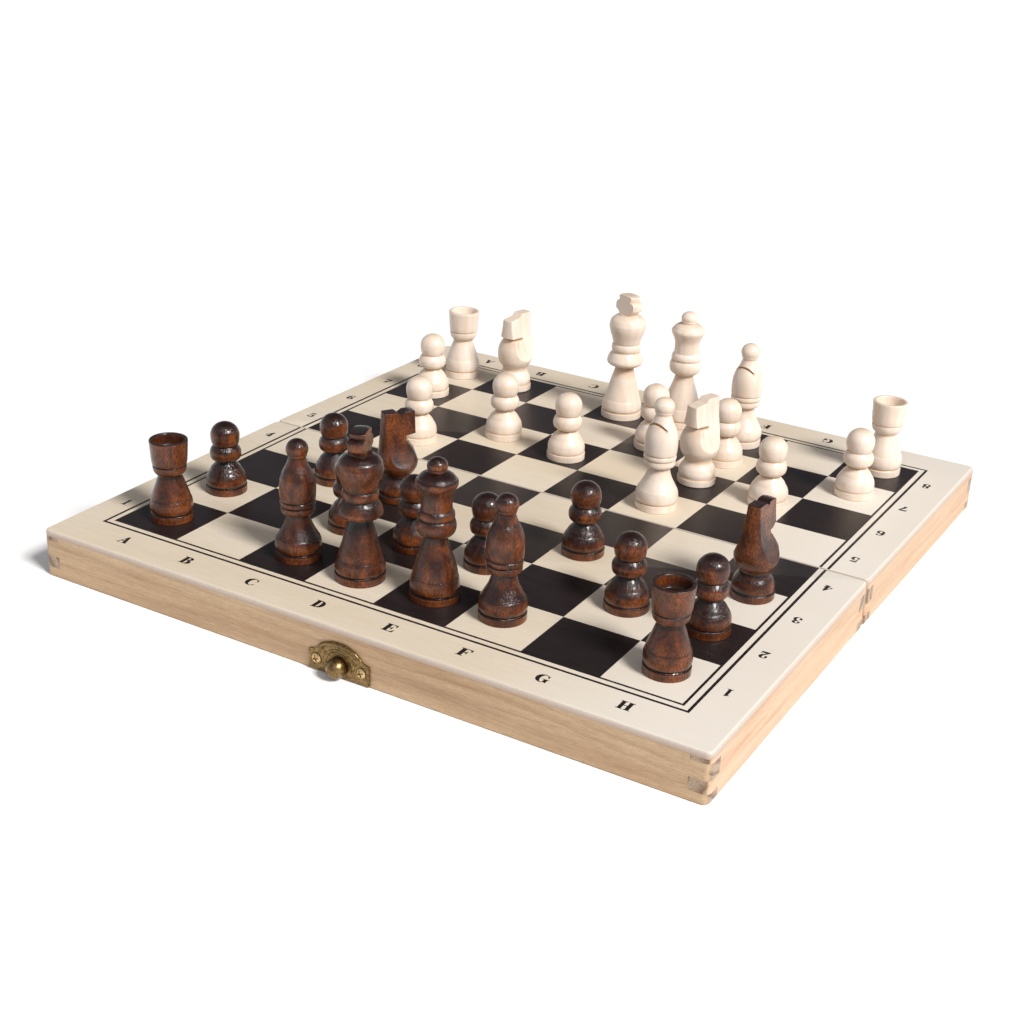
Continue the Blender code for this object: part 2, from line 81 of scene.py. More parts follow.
# ---- mesh helpers, all in millimetres ----
def mesh_object(name, verts, faces):
    data = bpy.data.meshes.new(name)
    data.from_pydata([tuple(v) for v in verts], [], faces)
    shaped = bmesh.new()
    shaped.from_mesh(data)
    bmesh.ops.recalc_face_normals(shaped, faces=shaped.faces)
    if shaped.calc_volume(signed=True) < 0:
        bmesh.ops.reverse_faces(shaped, faces=shaped.faces)
    shaped.to_mesh(data)
    shaped.free()
    obj = bpy.data.objects.new(name, data)
    bpy.context.scene.collection.objects.link(obj)
    return obj


def box(x0, x1, y0, y1, z0, z1, name="block"):
    verts = [(x, y, z) for z in (z0, z1) for y in (y0, y1) for x in (x0, x1)]
    faces = [(0, 2, 3, 1), (4, 5, 7, 6), (0, 1, 5, 4), (2, 6, 7, 3), (0, 4, 6, 2), (1, 3, 7, 5)]
    return mesh_object(name, verts, faces)


def applied(obj):
    """Bakes the object's modifiers into its mesh."""
    bpy.context.view_layer.update()
    graph = bpy.context.evaluated_depsgraph_get()
    made = bpy.data.meshes.new_from_object(obj.evaluated_get(graph))
    obj.modifiers.clear()
    stale = obj.data
    obj.data = made
    bpy.data.meshes.remove(stale)
    return obj


def boolean(base, other, operation):
    step = base.modifiers.new("step", "BOOLEAN")
    step.operation = operation
    step.solver = "EXACT"
    step.object = other
    applied(base)
    bpy.data.objects.remove(other, do_unlink=True)
    return base


def bevel(obj, width, segments=3, angle=30):
    step = obj.modifiers.new("edges", "BEVEL")
    step.width = width
    step.segments = segments
    step.limit_method = "ANGLE"
    step.angle_limit = math.radians(angle)
    return applied(obj)


def loft(rings, name="loft"):
    count = len(rings[0])
    verts = [p for ring in rings for p in ring]
    faces = [tuple(range(count))]
    for level in range(len(rings) - 1):
        low = level * count
        for i in range(count):
            j = (i + 1) % count
            faces.append((low + i, low + j, low + count + j, low + count + i))
    faces.append(tuple(range(len(verts) - count, len(verts))))
    return mesh_object(name, verts, faces)


def lathe(profile, segments, name="turning", axis="Z"):
    verts = []
    rows = []
    for radius, height in profile:
        if radius < 1e-6:
            rows.append([len(verts)])
            verts.append((0, 0, height))
            continue
        rows.append(range(len(verts), len(verts) + segments))
        for i in range(segments):
            turn = 2 * math.pi * i / segments
            verts.append((radius * math.cos(turn), radius * math.sin(turn), height))
    faces = []
    for low, high in zip(rows, rows[1:]):
        for i in range(segments):
            j = (i + 1) % segments
            if len(low) == 1:
                faces.append((low[0], high[j], high[i]))
            elif len(high) == 1:
                faces.append((low[i], low[j], high[0]))
            else:
                faces.append((low[i], low[j], high[j], high[i]))
    if len(rows[0]) > 1:
        faces.append(tuple(reversed(rows[0])))
    if len(rows[-1]) > 1:
        faces.append(tuple(rows[-1]))
    if axis == "Y":
        verts = [(x, z, y) for x, y, z in verts]
    return mesh_object(name, verts, faces)


def arc(cx, cy, rx, ry, start, end, steps):
    """Points along an elliptical arc, angles in degrees from +X."""
    turns = [math.radians(start + (end - start) * i / steps) for i in range(steps + 1)]
    return [(cx + rx * math.cos(t), cy + ry * math.sin(t)) for t in turns]


def smooth_run(points, per=5):
    """A Catmull-Rom curve through the points, with its ends kept."""
    if len(points) < 3:
        return list(points)
    padded = [points[0], *points, points[-1]]
    made = []
    for k in range(1, len(padded) - 2):
        p0, p1, p2, p3 = (Vector(p) for p in padded[k - 1:k + 3])
        for i in range(per):
            t = i / per
            a = 2 * p1
            b = (p2 - p0) * t
            c = (2 * p0 - 5 * p1 + 4 * p2 - p3) * t * t
            d = (3 * p1 - p0 - 3 * p2 + p3) * t * t * t
            made.append(tuple((a + b + c + d) / 2))
    made.append(tuple(points[-1]))
    return made


def place(obj, name, base, body, material, replaced=(), smooth=None):
    """Scales a piece to metres, sets it in its frame and hands it to its body."""
    obj.name = name
    obj.data.name = name
    obj.data.transform(Matrix.Scale(MM, 4))
    obj.data.materials.clear()
    obj.data.materials.append(material)
    if smooth:
        obj.data.shade_smooth()
        obj.data.set_sharp_from_angle(angle=math.radians(smooth))
    obj.matrix_world = base
    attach(obj, body)
    if replaced:
        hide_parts(*replaced)
    return obj


# ---- shader helpers ----
class Graph:
    """A material's node tree with short calls for the nodes used here."""

    def __init__(self, name):
        self.material = bpy.data.materials.new(name)
        self.material.use_nodes = True
        self.tree = self.material.node_tree
        self.shader = self.tree.nodes["Principled BSDF"]
        self.coords = self.tree.nodes.new("ShaderNodeTexCoord")

    def add(self, kind, settings=None, **sockets):
        node = self.tree.nodes.new(kind)
        for key, value in (settings or {}).items():
            setattr(node, key, value)
        for key, value in sockets.items():
            self.put(node.inputs[int(key[1:])], value)
        return node

    def put(self, socket, value):
        if isinstance(value, bpy.types.NodeSocket):
            self.tree.links.new(value, socket)
        else:
            socket.default_value = value

    def math(self, operation, a, b=0.0, c=0.0):
        node = self.add("ShaderNodeMath", {"operation": operation}, _0=a, _1=b, _2=c)
        return node.outputs[0]

    def vector(self, operation, a, b=(0, 0, 0)):
        node = self.add("ShaderNodeVectorMath", {"operation": operation}, _0=a, _1=b)
        return node.outputs["Value" if operation == "LENGTH" else "Vector"]

    def split(self, vector):
        return self.add("ShaderNodeSeparateXYZ", _0=vector).outputs

    def join(self, x, y, z):
        return self.add("ShaderNodeCombineXYZ", _0=x, _1=y, _2=z).outputs[0]

    def noise(self, vector, scale, detail=3.0, rough=0.55, distort=0.0):
        node = self.add("ShaderNodeTexNoise")
        self.put(node.inputs["Vector"], vector)
        node.inputs["Scale"].default_value = scale
        node.inputs["Detail"].default_value = detail
        node.inputs["Roughness"].default_value = rough
        node.inputs["Distortion"].default_value = distort
        return node.outputs[0]

    def ramp(self, value, *stops):
        node = self.add("ShaderNodeValToRGB", _0=value)
        marks = node.color_ramp.elements
        while len(marks) < len(stops):
            marks.new(0.5)
        for mark, (at, colour) in zip(marks, stops):
            mark.position = at
            mark.color = (colour, colour, colour, 1) if isinstance(colour, float) else (*colour, 1)
        return node.outputs[0]

    def mix(self, share, a, b):
        node = self.add("ShaderNodeMix", {"data_type": "RGBA"})
        self.put(node.inputs[0], share)
        self.put(node.inputs[6], a if isinstance(a, bpy.types.NodeSocket) else (*a, 1))
        self.put(node.inputs[7], b if isinstance(b, bpy.types.NodeSocket) else (*b, 1))
        return node.outputs[2]

    def bump(self, height, distance, strength):
        node = self.add("ShaderNodeBump")
        node.inputs["Strength"].default_value = strength
        node.inputs["Distance"].default_value = distance
        self.put(node.inputs["Height"], height)
        return node.outputs[0]

    def finish(self, colour, roughness, normal=None, metallic=0.0, coat=0.0, coat_rough=0.1, level=0.5):
        self.put(self.shader.inputs["Base Color"], colour)
        self.put(self.shader.inputs["Roughness"], roughness)
        self.shader.inputs["Metallic"].default_value = metallic
        self.shader.inputs["Coat Weight"].default_value = coat
        self.shader.inputs["Coat Roughness"].default_value = coat_rough
        self.shader.inputs["Specular IOR Level"].default_value = level
        if normal is not None:
            self.put(self.shader.inputs["Normal"], normal)
            self.put(self.shader.inputs["Coat Normal"], normal)
        return self.material


def srgb(r, g, b):
    """An 8-bit display colour as linear light."""
    return tuple((c / 255 / 12.92) if c <= 10 else ((c / 255 + 0.055) / 1.055) ** 2.4 for c in (r, g, b))


def millimetres(g, jitter=False):
    """Object coordinates in millimetres, shifted for each object when jitter is set."""
    p = g.vector("MULTIPLY", g.coords.outputs["Object"], (1000, 1000, 1000))
    if not jitter:
        return p
    chance = g.add("ShaderNodeObjectInfo").outputs["Random"]
    return g.vector("ADD", p, g.join(g.math("MULTIPLY", chance, 313.0), g.math("MULTIPLY", chance, 97.0),
                                     g.math("MULTIPLY", chance, 641.0)))


def stretched(g, p, axis, along):
    scale = [1.0, 1.0, 1.0]
    scale["XYZ".index(axis)] = along
    return g.vector("MULTIPLY", p, tuple(scale))


def rings(g, p, axis, pith, gap, wobble):
    """Growth rings: a saw from 0 to 1 across each year, round a pith line along axis."""
    keep = [1.0, 1.0, 1.0]
    keep["XYZ".index(axis)] = 0.0
    across = g.vector("MULTIPLY", g.vector("SUBTRACT", p, pith), tuple(keep))
    drift = g.noise(stretched(g, p, axis, 0.12), 0.035, 2.0)
    reach = g.math("MULTIPLY_ADD", drift, wobble, g.vector("LENGTH", across))
    return g.math("FRACT", g.math("DIVIDE", reach, gap))


# ---- materials ----
def softwood(name, axis, pith, pale, mid, deep, gap=3.2, blush=None):
    """Lacquered pine: uneven streaks on the faces, rings and darker pores on the ends."""
    g = Graph(name)
    p = millimetres(g)
    year = rings(g, p, axis, pith, gap, 26.0)
    late = g.ramp(year, (0.0, 0.0), (0.40, 0.10), (0.80, 1.0), (0.98, 0.1))
    fibre = g.noise(stretched(g, p, axis, 0.030), 1.5, 5.0, 0.7)
    fine = g.noise(stretched(g, p, axis, 0.045), 5.5, 3.0, 0.65)
    broad = g.noise(stretched(g, p, axis, 0.07), 0.16, 4.0, 0.65)
    specks = g.ramp(g.noise(stretched(g, p, axis, 0.30), 4.5, 2.0, 0.5), (0.58, 0.0), (0.70, 0.5))
    tone = g.mix(g.ramp(broad, (0.32, 0.0), (0.66, 1.0)), pale, mid)
    if blush:
        patch = g.ramp(g.noise(stretched(g, p, axis, 0.05), 0.30, 3.0), (0.50, 0.0), (0.70, 0.85))
        tone = g.mix(patch, tone, blush)
    tone = g.mix(g.math("MULTIPLY", late, g.ramp(fibre, (0.35, 0.0), (0.70, 0.65))), tone, deep)
    tone = g.mix(g.ramp(fine, (0.42, 0.0), (0.72, 0.55)), tone, deep)
    tone = g.mix(specks, tone, deep)
    normal = g.split(g.coords.outputs["Normal"])["XYZ".index(axis)]
    end = g.ramp(g.math("ABSOLUTE", normal), (0.6, 0.0), (0.85, 1.0))
    pores = g.ramp(g.noise(p, 3.4, 4.0, 0.7), (0.38, 0.25), (0.62, 1.0))
    grey = g.mix(late, srgb(192, 168, 142), srgb(118, 88, 66))
    grey = g.mix(pores, srgb(104, 82, 66), grey)
    colour = g.mix(end, tone, grey)
    rough = g.math("MULTIPLY_ADD", fibre, 0.25, 0.36)
    dents = g.math("ADD", g.math("MULTIPLY", fibre, 0.6), g.math("MULTIPLY", fine, 0.5))
    normal = g.bump(dents, 0.00006, 0.8)
    return g.finish(colour, rough, normal, coat=0.10, coat_rough=0.30, level=0.4)


def printed_veneer(half):
    """Birch veneer with the printed squares and border, on one half of the board."""
    g = Graph("printed_birch_" + half)
    p = millimetres(g)
    x, y, z = g.split(p)
    way = -1.0 if half == "front" else 1.0
    nap = g.noise(stretched(g, p, "X", 0.25), 4.0, 2.0)
    bleed = g.math("MULTIPLY", g.math("SUBTRACT", nap, 0.5), 0.22)
    shift = PRINT_SHIFT + (0.45 if half == "rear" else 0.0)
    u = g.math("ADD", g.math("MULTIPLY", x, way), g.math("ADD", bleed, -shift))
    v = g.math("ADD", g.math("ADD", y, PRINT_SEAM), bleed)
    column = g.math("FLOOR", g.math("DIVIDE", u, SQUARE))
    row = g.math("FLOOR", g.math("DIVIDE", v, SQUARE))
    odd = g.math("PINGPONG", g.math("ADD", g.math("ADD", column, row), 20.0 + (half == "front")), 1.0)
    chequer = g.math("SUBTRACT", 1.0, odd)
    beyond = g.math("MAXIMUM", g.math("SUBTRACT", g.math("ABSOLUTE", u), 4 * SQUARE),
                    g.math("SUBTRACT", v, 4 * SQUARE))
    inside = g.math("LESS_THAN", beyond, 0.0)
    inner = g.math("LESS_THAN", g.math("ABSOLUTE", beyond), 0.52)
    outer = g.math("LESS_THAN", g.math("ABSOLUTE", g.math("SUBTRACT", beyond, 3.2)), 0.58)
    ink = g.math("MAXIMUM", g.math("MULTIPLY", chequer, inside), g.math("MAXIMUM", inner, outer))
    side = g.ramp(g.split(g.coords.outputs["Normal"])[2], (0.55, 1.0), (0.93, 0.0))
    ink = g.math("MULTIPLY", ink, g.ramp(g.split(g.coords.outputs["Normal"])[2], (0.80, 0.0), (0.97, 1.0)))

    broad = g.noise(stretched(g, p, "X", 0.18), 0.035, 3.0)
    fibre = g.noise(stretched(g, p, "X", 0.05), 1.6, 4.0, 0.7)
    flecks = g.ramp(g.noise(stretched(g, p, "X", 0.16), 2.8, 2.0), (0.60, 0.0), (0.74, 0.55))
    wood = g.mix(g.ramp(broad, (0.30, 0.0), (0.72, 1.0)), srgb(224, 213, 197), srgb(214, 199, 177))
    wood = g.mix(g.ramp(fibre, (0.35, 0.0), (0.75, 0.45)), wood, srgb(200, 178, 146))
    wood = g.mix(flecks, wood, srgb(204, 184, 154))
    # Painted sheen: the veneer is painted whiter toward the H edge, where the lacquer catches the light.
    toward_h = g.math("MULTIPLY_ADD", broad, 0.3, g.math("DIVIDE", u, HALF_WIDTH))
    painted_sheen = g.ramp(toward_h, (0.55, 0.0), (1.15, 0.7))
    wood = g.mix(painted_sheen, wood, srgb(229, 222, 213))
    black = g.mix(g.ramp(fibre, (0.40, 0.0), (0.80, 0.8)), srgb(25, 18, 19), srgb(52, 42, 40))
    colour = g.mix(ink, wood, black)
    # The worn edge is greyer than the face, and takes the frame's colour lower down.
    climb = g.math("DIVIDE", g.math("SUBTRACT", z, PANEL_LOW), TOP - PANEL_LOW)
    drop = g.ramp(climb, (0.0, 1.0), (0.75, 0.0))
    edge = g.mix(drop, srgb(196, 183, 172), srgb(180, 154, 130))
    edge = g.mix(g.ramp(g.noise(p, 1.1, 4.0, 0.7), (0.4, 0.0), (0.7, 0.4)), edge, srgb(166, 149, 142))
    colour = g.mix(side, colour, edge)
    rough = g.math("SUBTRACT", g.math("MULTIPLY_ADD", fibre, 0.16, 0.36), g.math("MULTIPLY", ink, 0.06))
    height = g.math("ADD", g.math("MULTIPLY", fibre, 0.7), g.math("MULTIPLY", ink, 0.35))
    normal = g.bump(height, 0.00003, 0.7)
    return g.finish(colour, rough, normal, coat=0.06, coat_rough=0.25, level=0.4)


def stained_wood(name):
    """Dark stain on turned wood: open grain on the flanks, blotches, painted shade on the tops, and hollows
    painted near-black as pooled stain and shade.
    """
    g = Graph(name)
    p = millimetres(g, jitter=True)
    here = g.vector("MULTIPLY", g.coords.outputs["Object"], (1000, 1000, 1000))
    up = g.split(g.coords.outputs["Normal"])[2]
    height = g.split(here)[2]
    fibre = g.noise(stretched(g, p, "Z", 0.10), 1.7, 4.0, 0.7)
    dashes = g.ramp(g.noise(stretched(g, p, "Z", 0.16), 3.6, 2.0, 0.6), (0.47, 0.0), (0.60, 1.0))
    blotch = g.ramp(g.noise(stretched(g, p, "Z", 0.55), 0.16, 3.0, 0.6, 0.6), (0.36, 0.0), (0.64, 1.0))
    hoops = g.noise(g.join(0.0, 0.0, g.math("MULTIPLY_ADD", fibre, 0.8, height)), 0.75, 2.0, 0.6)
    lumps = g.noise(stretched(g, p, "Z", 0.7), 0.8, 2.0, 0.5)
    flank = g.mix(blotch, srgb(70, 32, 15), srgb(130, 68, 28))
    flank = g.mix(g.ramp(hoops, (0.36, 0.30), (0.56, 0.0)), flank, srgb(48, 21, 11))
    flank = g.mix(g.math("MULTIPLY", dashes, 0.75), flank, srgb(34, 14, 8))
    # Painted shade and light: faces turned up take the near-black top colour, partly end grain that took more
    # stain and partly painted shade, and faces turned down stay lighter, as if lit from the board below.
    stained_and_shaded_top = g.mix(g.ramp(lumps, (0.36, 0.0), (0.66, 1.0)), srgb(20, 8, 6), srgb(52, 21, 12))
    end = g.ramp(g.math("MULTIPLY_ADD", blotch, -0.22, up), (-0.05, 0.0), (0.42, 1.0))
    colour = g.mix(end, flank, stained_and_shaded_top)
    # Painted shade and pooled stain: the hollows, grooves and collar undersides marked in the recess
    # attribute are painted near-black.
    recess = g.add("ShaderNodeAttribute", {"attribute_name": "recess"}).outputs["Fac"]
    pooled_stain_and_shade = g.math("MULTIPLY_ADD", g.math("SUBTRACT", lumps, 0.5), 0.7, recess)
    colour = g.mix(g.ramp(pooled_stain_and_shade, (0.06, 0.0), (0.66, 1.0)), colour, srgb(14, 6, 5))
    rough = g.math("MULTIPLY_ADD", dashes, 0.20, 0.30)
    relief = g.math("ADD", g.math("MULTIPLY", lumps, 1.1), g.math("ADD", g.math("MULTIPLY", dashes, -0.5),
                                                                    g.math("MULTIPLY", hoops, 0.8)))
    normal = g.bump(relief, 0.00009, 0.6)
    return g.finish(colour, rough, normal, coat=0.75, coat_rough=0.07, level=0.12)


def clear_wood(name):
    """Pale turned wood under clear lacquer: faint years and fibres, with painted shade, warmer in tone, in
    the hollows.
    """
    g = Graph(name)
    p = millimetres(g, jitter=True)
    year = rings(g, p, "Z", (24.0, 9.0, 0.0), 3.6, 9.0)
    late = g.ramp(year, (0.0, 0.1), (0.5, 0.2), (0.85, 1.0), (1.0, 0.1))
    fibre = g.noise(stretched(g, p, "Z", 0.07), 2.1, 4.0, 0.7)
    cloud = g.noise(stretched(g, p, "Z", 0.4), 0.12, 3.0, 0.6, 0.6)
    pores = g.noise(p, 4.0, 3.0, 0.7)
    tone = g.mix(g.ramp(cloud, (0.34, 0.0), (0.66, 1.0)), srgb(236, 221, 208), srgb(228, 208, 190))
    tone = g.mix(g.math("MULTIPLY", late, 0.20), tone, srgb(205, 176, 143))
    tone = g.mix(g.ramp(fibre, (0.52, 0.0), (0.80, 0.35)), tone, srgb(202, 174, 142))
    facing = g.math("ABSOLUTE", g.split(g.coords.outputs["Normal"])[2])
    end = g.ramp(facing, (0.45, 0.0), (0.95, 0.6))
    tone = g.mix(g.math("MULTIPLY", end, pores), tone, srgb(212, 190, 164))
    # Painted shade: the hollows marked in the recess attribute are painted a darker, warmer tan.
    recess = g.add("ShaderNodeAttribute", {"attribute_name": "recess"}).outputs["Fac"]
    colour = g.mix(g.ramp(recess, (0.10, 0.0), (1.0, 0.85)), tone, srgb(196, 160, 122))
    rough = g.math("MULTIPLY_ADD", fibre, 0.14, 0.30)
    relief = g.math("ADD", g.math("MULTIPLY", fibre, 0.5), g.math("MULTIPLY", pores, 0.3))
    normal = g.bump(relief, 0.00006, 0.7)
    return g.finish(colour, rough, normal, coat=0.20, coat_rough=0.22)


def aged_metal(name, bright, dull, dark, rough, wear=0.5):
    """Plated metal in bright and dull patches, with specks of dark patina."""
    g = Graph(name)
    p = millimetres(g)
    patch = g.noise(p, 0.9, 4.0, 0.65, 0.4)
    speck = g.noise(p, 6.0, 3.0, 0.7)
    rub = g.noise(stretched(g, p, "X", 0.2), 5.0, 2.0)
    colour = g.mix(g.ramp(patch, (0.38, 0.0), (0.64, 1.0)), dull, bright)
    colour = g.mix(g.ramp(speck, (0.50, 0.0), (0.72, wear)), colour, dark)
    roughness = g.math("MULTIPLY_ADD", g.math("ADD", speck, rub), 0.16, rough)
    normal = g.bump(g.math("ADD", speck, g.math("MULTIPLY", rub, 0.4)), 0.00003, 0.6)
    return g.finish(colour, roughness, normal, metallic=1.0)


PANELS = {half: printed_veneer(half) for half in ("front", "rear")}
PINE_FRONT = softwood("pine_long_wall", "X", (0.0, 112.0, 52.0), srgb(206, 177, 142), srgb(180, 147, 112),
                      srgb(140, 104, 72), 4.6)
PINE_SIDE = softwood("pine_side_wall", "Y", (95.0, 0.0, 44.0), srgb(210, 186, 158), srgb(200, 170, 138),
                     srgb(176, 130, 94), 6.2, srgb(196, 146, 112))
DARK = stained_wood("dark_stain")
LIGHT = clear_wood("pale_lacquer")
BRONZE = aged_metal("antique_brass", srgb(164, 136, 92), srgb(104, 83, 54), srgb(30, 22, 14), 0.20, 0.75)
SCREWS = aged_metal("screw_brass", srgb(232, 208, 158), srgb(198, 170, 120), srgb(96, 76, 46), 0.20, 0.4)
STEEL = aged_metal("pin_steel", srgb(188, 184, 178), srgb(150, 146, 140), srgb(90, 84, 78), 0.26, 0.3)

INK = Graph("coordinate_ink")
ink_point = millimetres(INK)
ink_grain = INK.noise(stretched(INK, ink_point, "X", 0.1), 3.0, 3.0)
INK = INK.finish(INK.mix(INK.ramp(ink_grain, (0.45, 0.0), (0.8, 0.8)), srgb(24, 17, 15), srgb(58, 46, 38)),
                 INK.math("MULTIPLY_ADD", ink_grain, 0.2, 0.32), coat=0.15, coat_rough=0.22)


# ---- trays ----
CORNER_R = 2.5          # upright corners
EDGE_R = 1.2            # upper edge of the panel
SEAM_R = 0.5            # the panel's edge along the seam
RIM_R = 0.8             # lower edge of the frame
LEVELS = (4.2, 9.2, 15.7)   # heights over the rim where the corner fingers change over


def outline(inset, seam_inset, height, radius, per_corner=10):
    """The plan of one half at a height, with round corners."""
    left, right = -HALF_WIDTH + inset, HALF_WIDTH - inset
    near, far = NEAR + seam_inset, OUTER - inset
    points = []
    for x, y, start in ((right, near, -90), (right, far, 0), (left, far, 90), (left, near, 180)):
        cx = x - math.copysign(radius, x)
        cy = y + radius if y == near else y - radius
        for a, b in arc(cx, cy, radius, radius, start, start + 90, per_corner - 1):
            points.append((a, b, height))
    return points


def footprint():
    """One half's whole block, rounded at the rim, to trim the walls with."""
    made = []
    for i in range(6):
        turn = math.radians(18 * i)
        inset = RIM_R * (1 - math.sin(turn))
        made.append(outline(inset, inset * 0.3, RIM + RIM_R * (1 - math.cos(turn)), CORNER_R - inset))
    made.append(outline(0, 0, TOP, CORNER_R))
    return loft(made, "footprint")


def top_panel():
    made = [outline(0, 0, PANEL_LOW, CORNER_R), outline(0, 0, PANEL_LOW + 0.4, CORNER_R)]
    for i in range(9):
        turn = math.radians(90 / 8 * i)
        inset = EDGE_R * (1 - math.cos(turn))
        seam = SEAM_R * (1 - math.cos(turn))
        made.append(outline(inset, seam, TOP - EDGE_R * (1 - math.sin(turn)), CORNER_R - inset))
    return loft(made, "panel")


def long_wall(y0, y1):
    """A wall along X between two depths, with a notch for each finger of the side walls."""
    low, mid, high = LEVELS
    wall = box(-HALF_WIDTH - 1, HALF_WIDTH + 1, y0, y1, RIM, PANEL_LOW - GLUE, "wall")
    for side in (-1, 1):
        x0, x1 = sorted((side * (HALF_WIDTH - WALL_T - GLUE), side * (HALF_WIDTH + 3)))
        for a, b in ((low, mid), (high, 30)):
            boolean(wall, box(x0, x1, y0 - 3, y1 + 3, RIM + a - GLUE, RIM + b + GLUE), "DIFFERENCE")
    return boolean(wall, footprint(), "INTERSECT")


def side_wall(side):
    """A wall along Y, with the fingers that fill the long walls' notches."""
    low, mid, high = LEVELS
    x0, x1 = sorted((side * (HALF_WIDTH - WALL_T), side * (HALF_WIDTH + 1)))
    wall = box(x0, x1, NEAR - 1, OUTER + 1, RIM, PANEL_LOW - GLUE, "wall")
    for y0, y1 in ((NEAR - 3, NEAR + WALL_T + GLUE), (OUTER - WALL_T - GLUE, OUTER + 3)):
        for a, b in ((-2, low), (mid, high)):
            boolean(wall, box(x0 - 3, x1 + 3, y0, y1, RIM + a, RIM + b), "DIFFERENCE")
    return boolean(wall, footprint(), "INTERSECT")


for half, base in FRAMES.items():
    way = -1 if half == "front" else 1
    body = half + "_half"
    place(top_panel(), half + "_playing_panel", base, body, PANELS[half], [half + "_top_panel"],
          35)
    place(long_wall(OUTER - WALL_T, OUTER), half + "_outer_rail", base, body, PINE_FRONT,
          [half + "_outer_wall"], 35)
    seam = long_wall(NEAR, NEAR + WALL_T)
    for hinge in ("left", "right"):
        leaf_low, leaf_high = local_box(hinge + "_hinge_" + half + "_leaf", base)
        x0, x1 = leaf_low.x - 0.15, leaf_high.x + 0.15
        boolean(seam, box(x0, x1, -1, leaf_high.y + 0.15, -2, leaf_high.z + 0.1), "DIFFERENCE")
        boolean(seam, box(x0 - 0.4, x1 + 0.4, -2, 1.05, -3, 1.05), "DIFFERENCE")
    place(seam, half + "_seam_rail", base, body, PINE_FRONT, [half + "_seam_wall"], 35)
    for label, side in (("left", -way), ("right", way)):
        place(side_wall(side), half + "_" + label + "_rail", base, body, PINE_SIDE,
              [half + "_" + label + "_wall"], 35)

# ---- printed coordinates ----
LETTER_HEIGHT = 5.35
DIGIT_HEIGHT = 5.2
INK_LIFT = 0.02         # how far the print stands over the panel
FOOT = 0.07             # thickness of a serif
STEM = [(0, 1 - FOOT), (0.10, 1 - FOOT), (0.10, FOOT), (0, FOOT), (0, 0)]
ARMS = [(0.41, 0.46), (0.48, 0.46), (0.57, 0.40), (0.60, 0.30), (0.64, 0.30), (0.64, 0.70), (0.60, 0.70),
        (0.57, 0.60), (0.48, 0.54), (0.41, 0.54), (0.41, 0.93), *arc(0.58, 0.68, 0.22, 0.25, 88, 12, 6),
        (0.82, 0.68), (0.87, 0.68), (0.87, 1), (0, 1)]
HOOK = [(0.20, 0.16), (0.27, 0.26), (0.20, 0.36), (0.07, 0.34), (0.04, 0.20)]
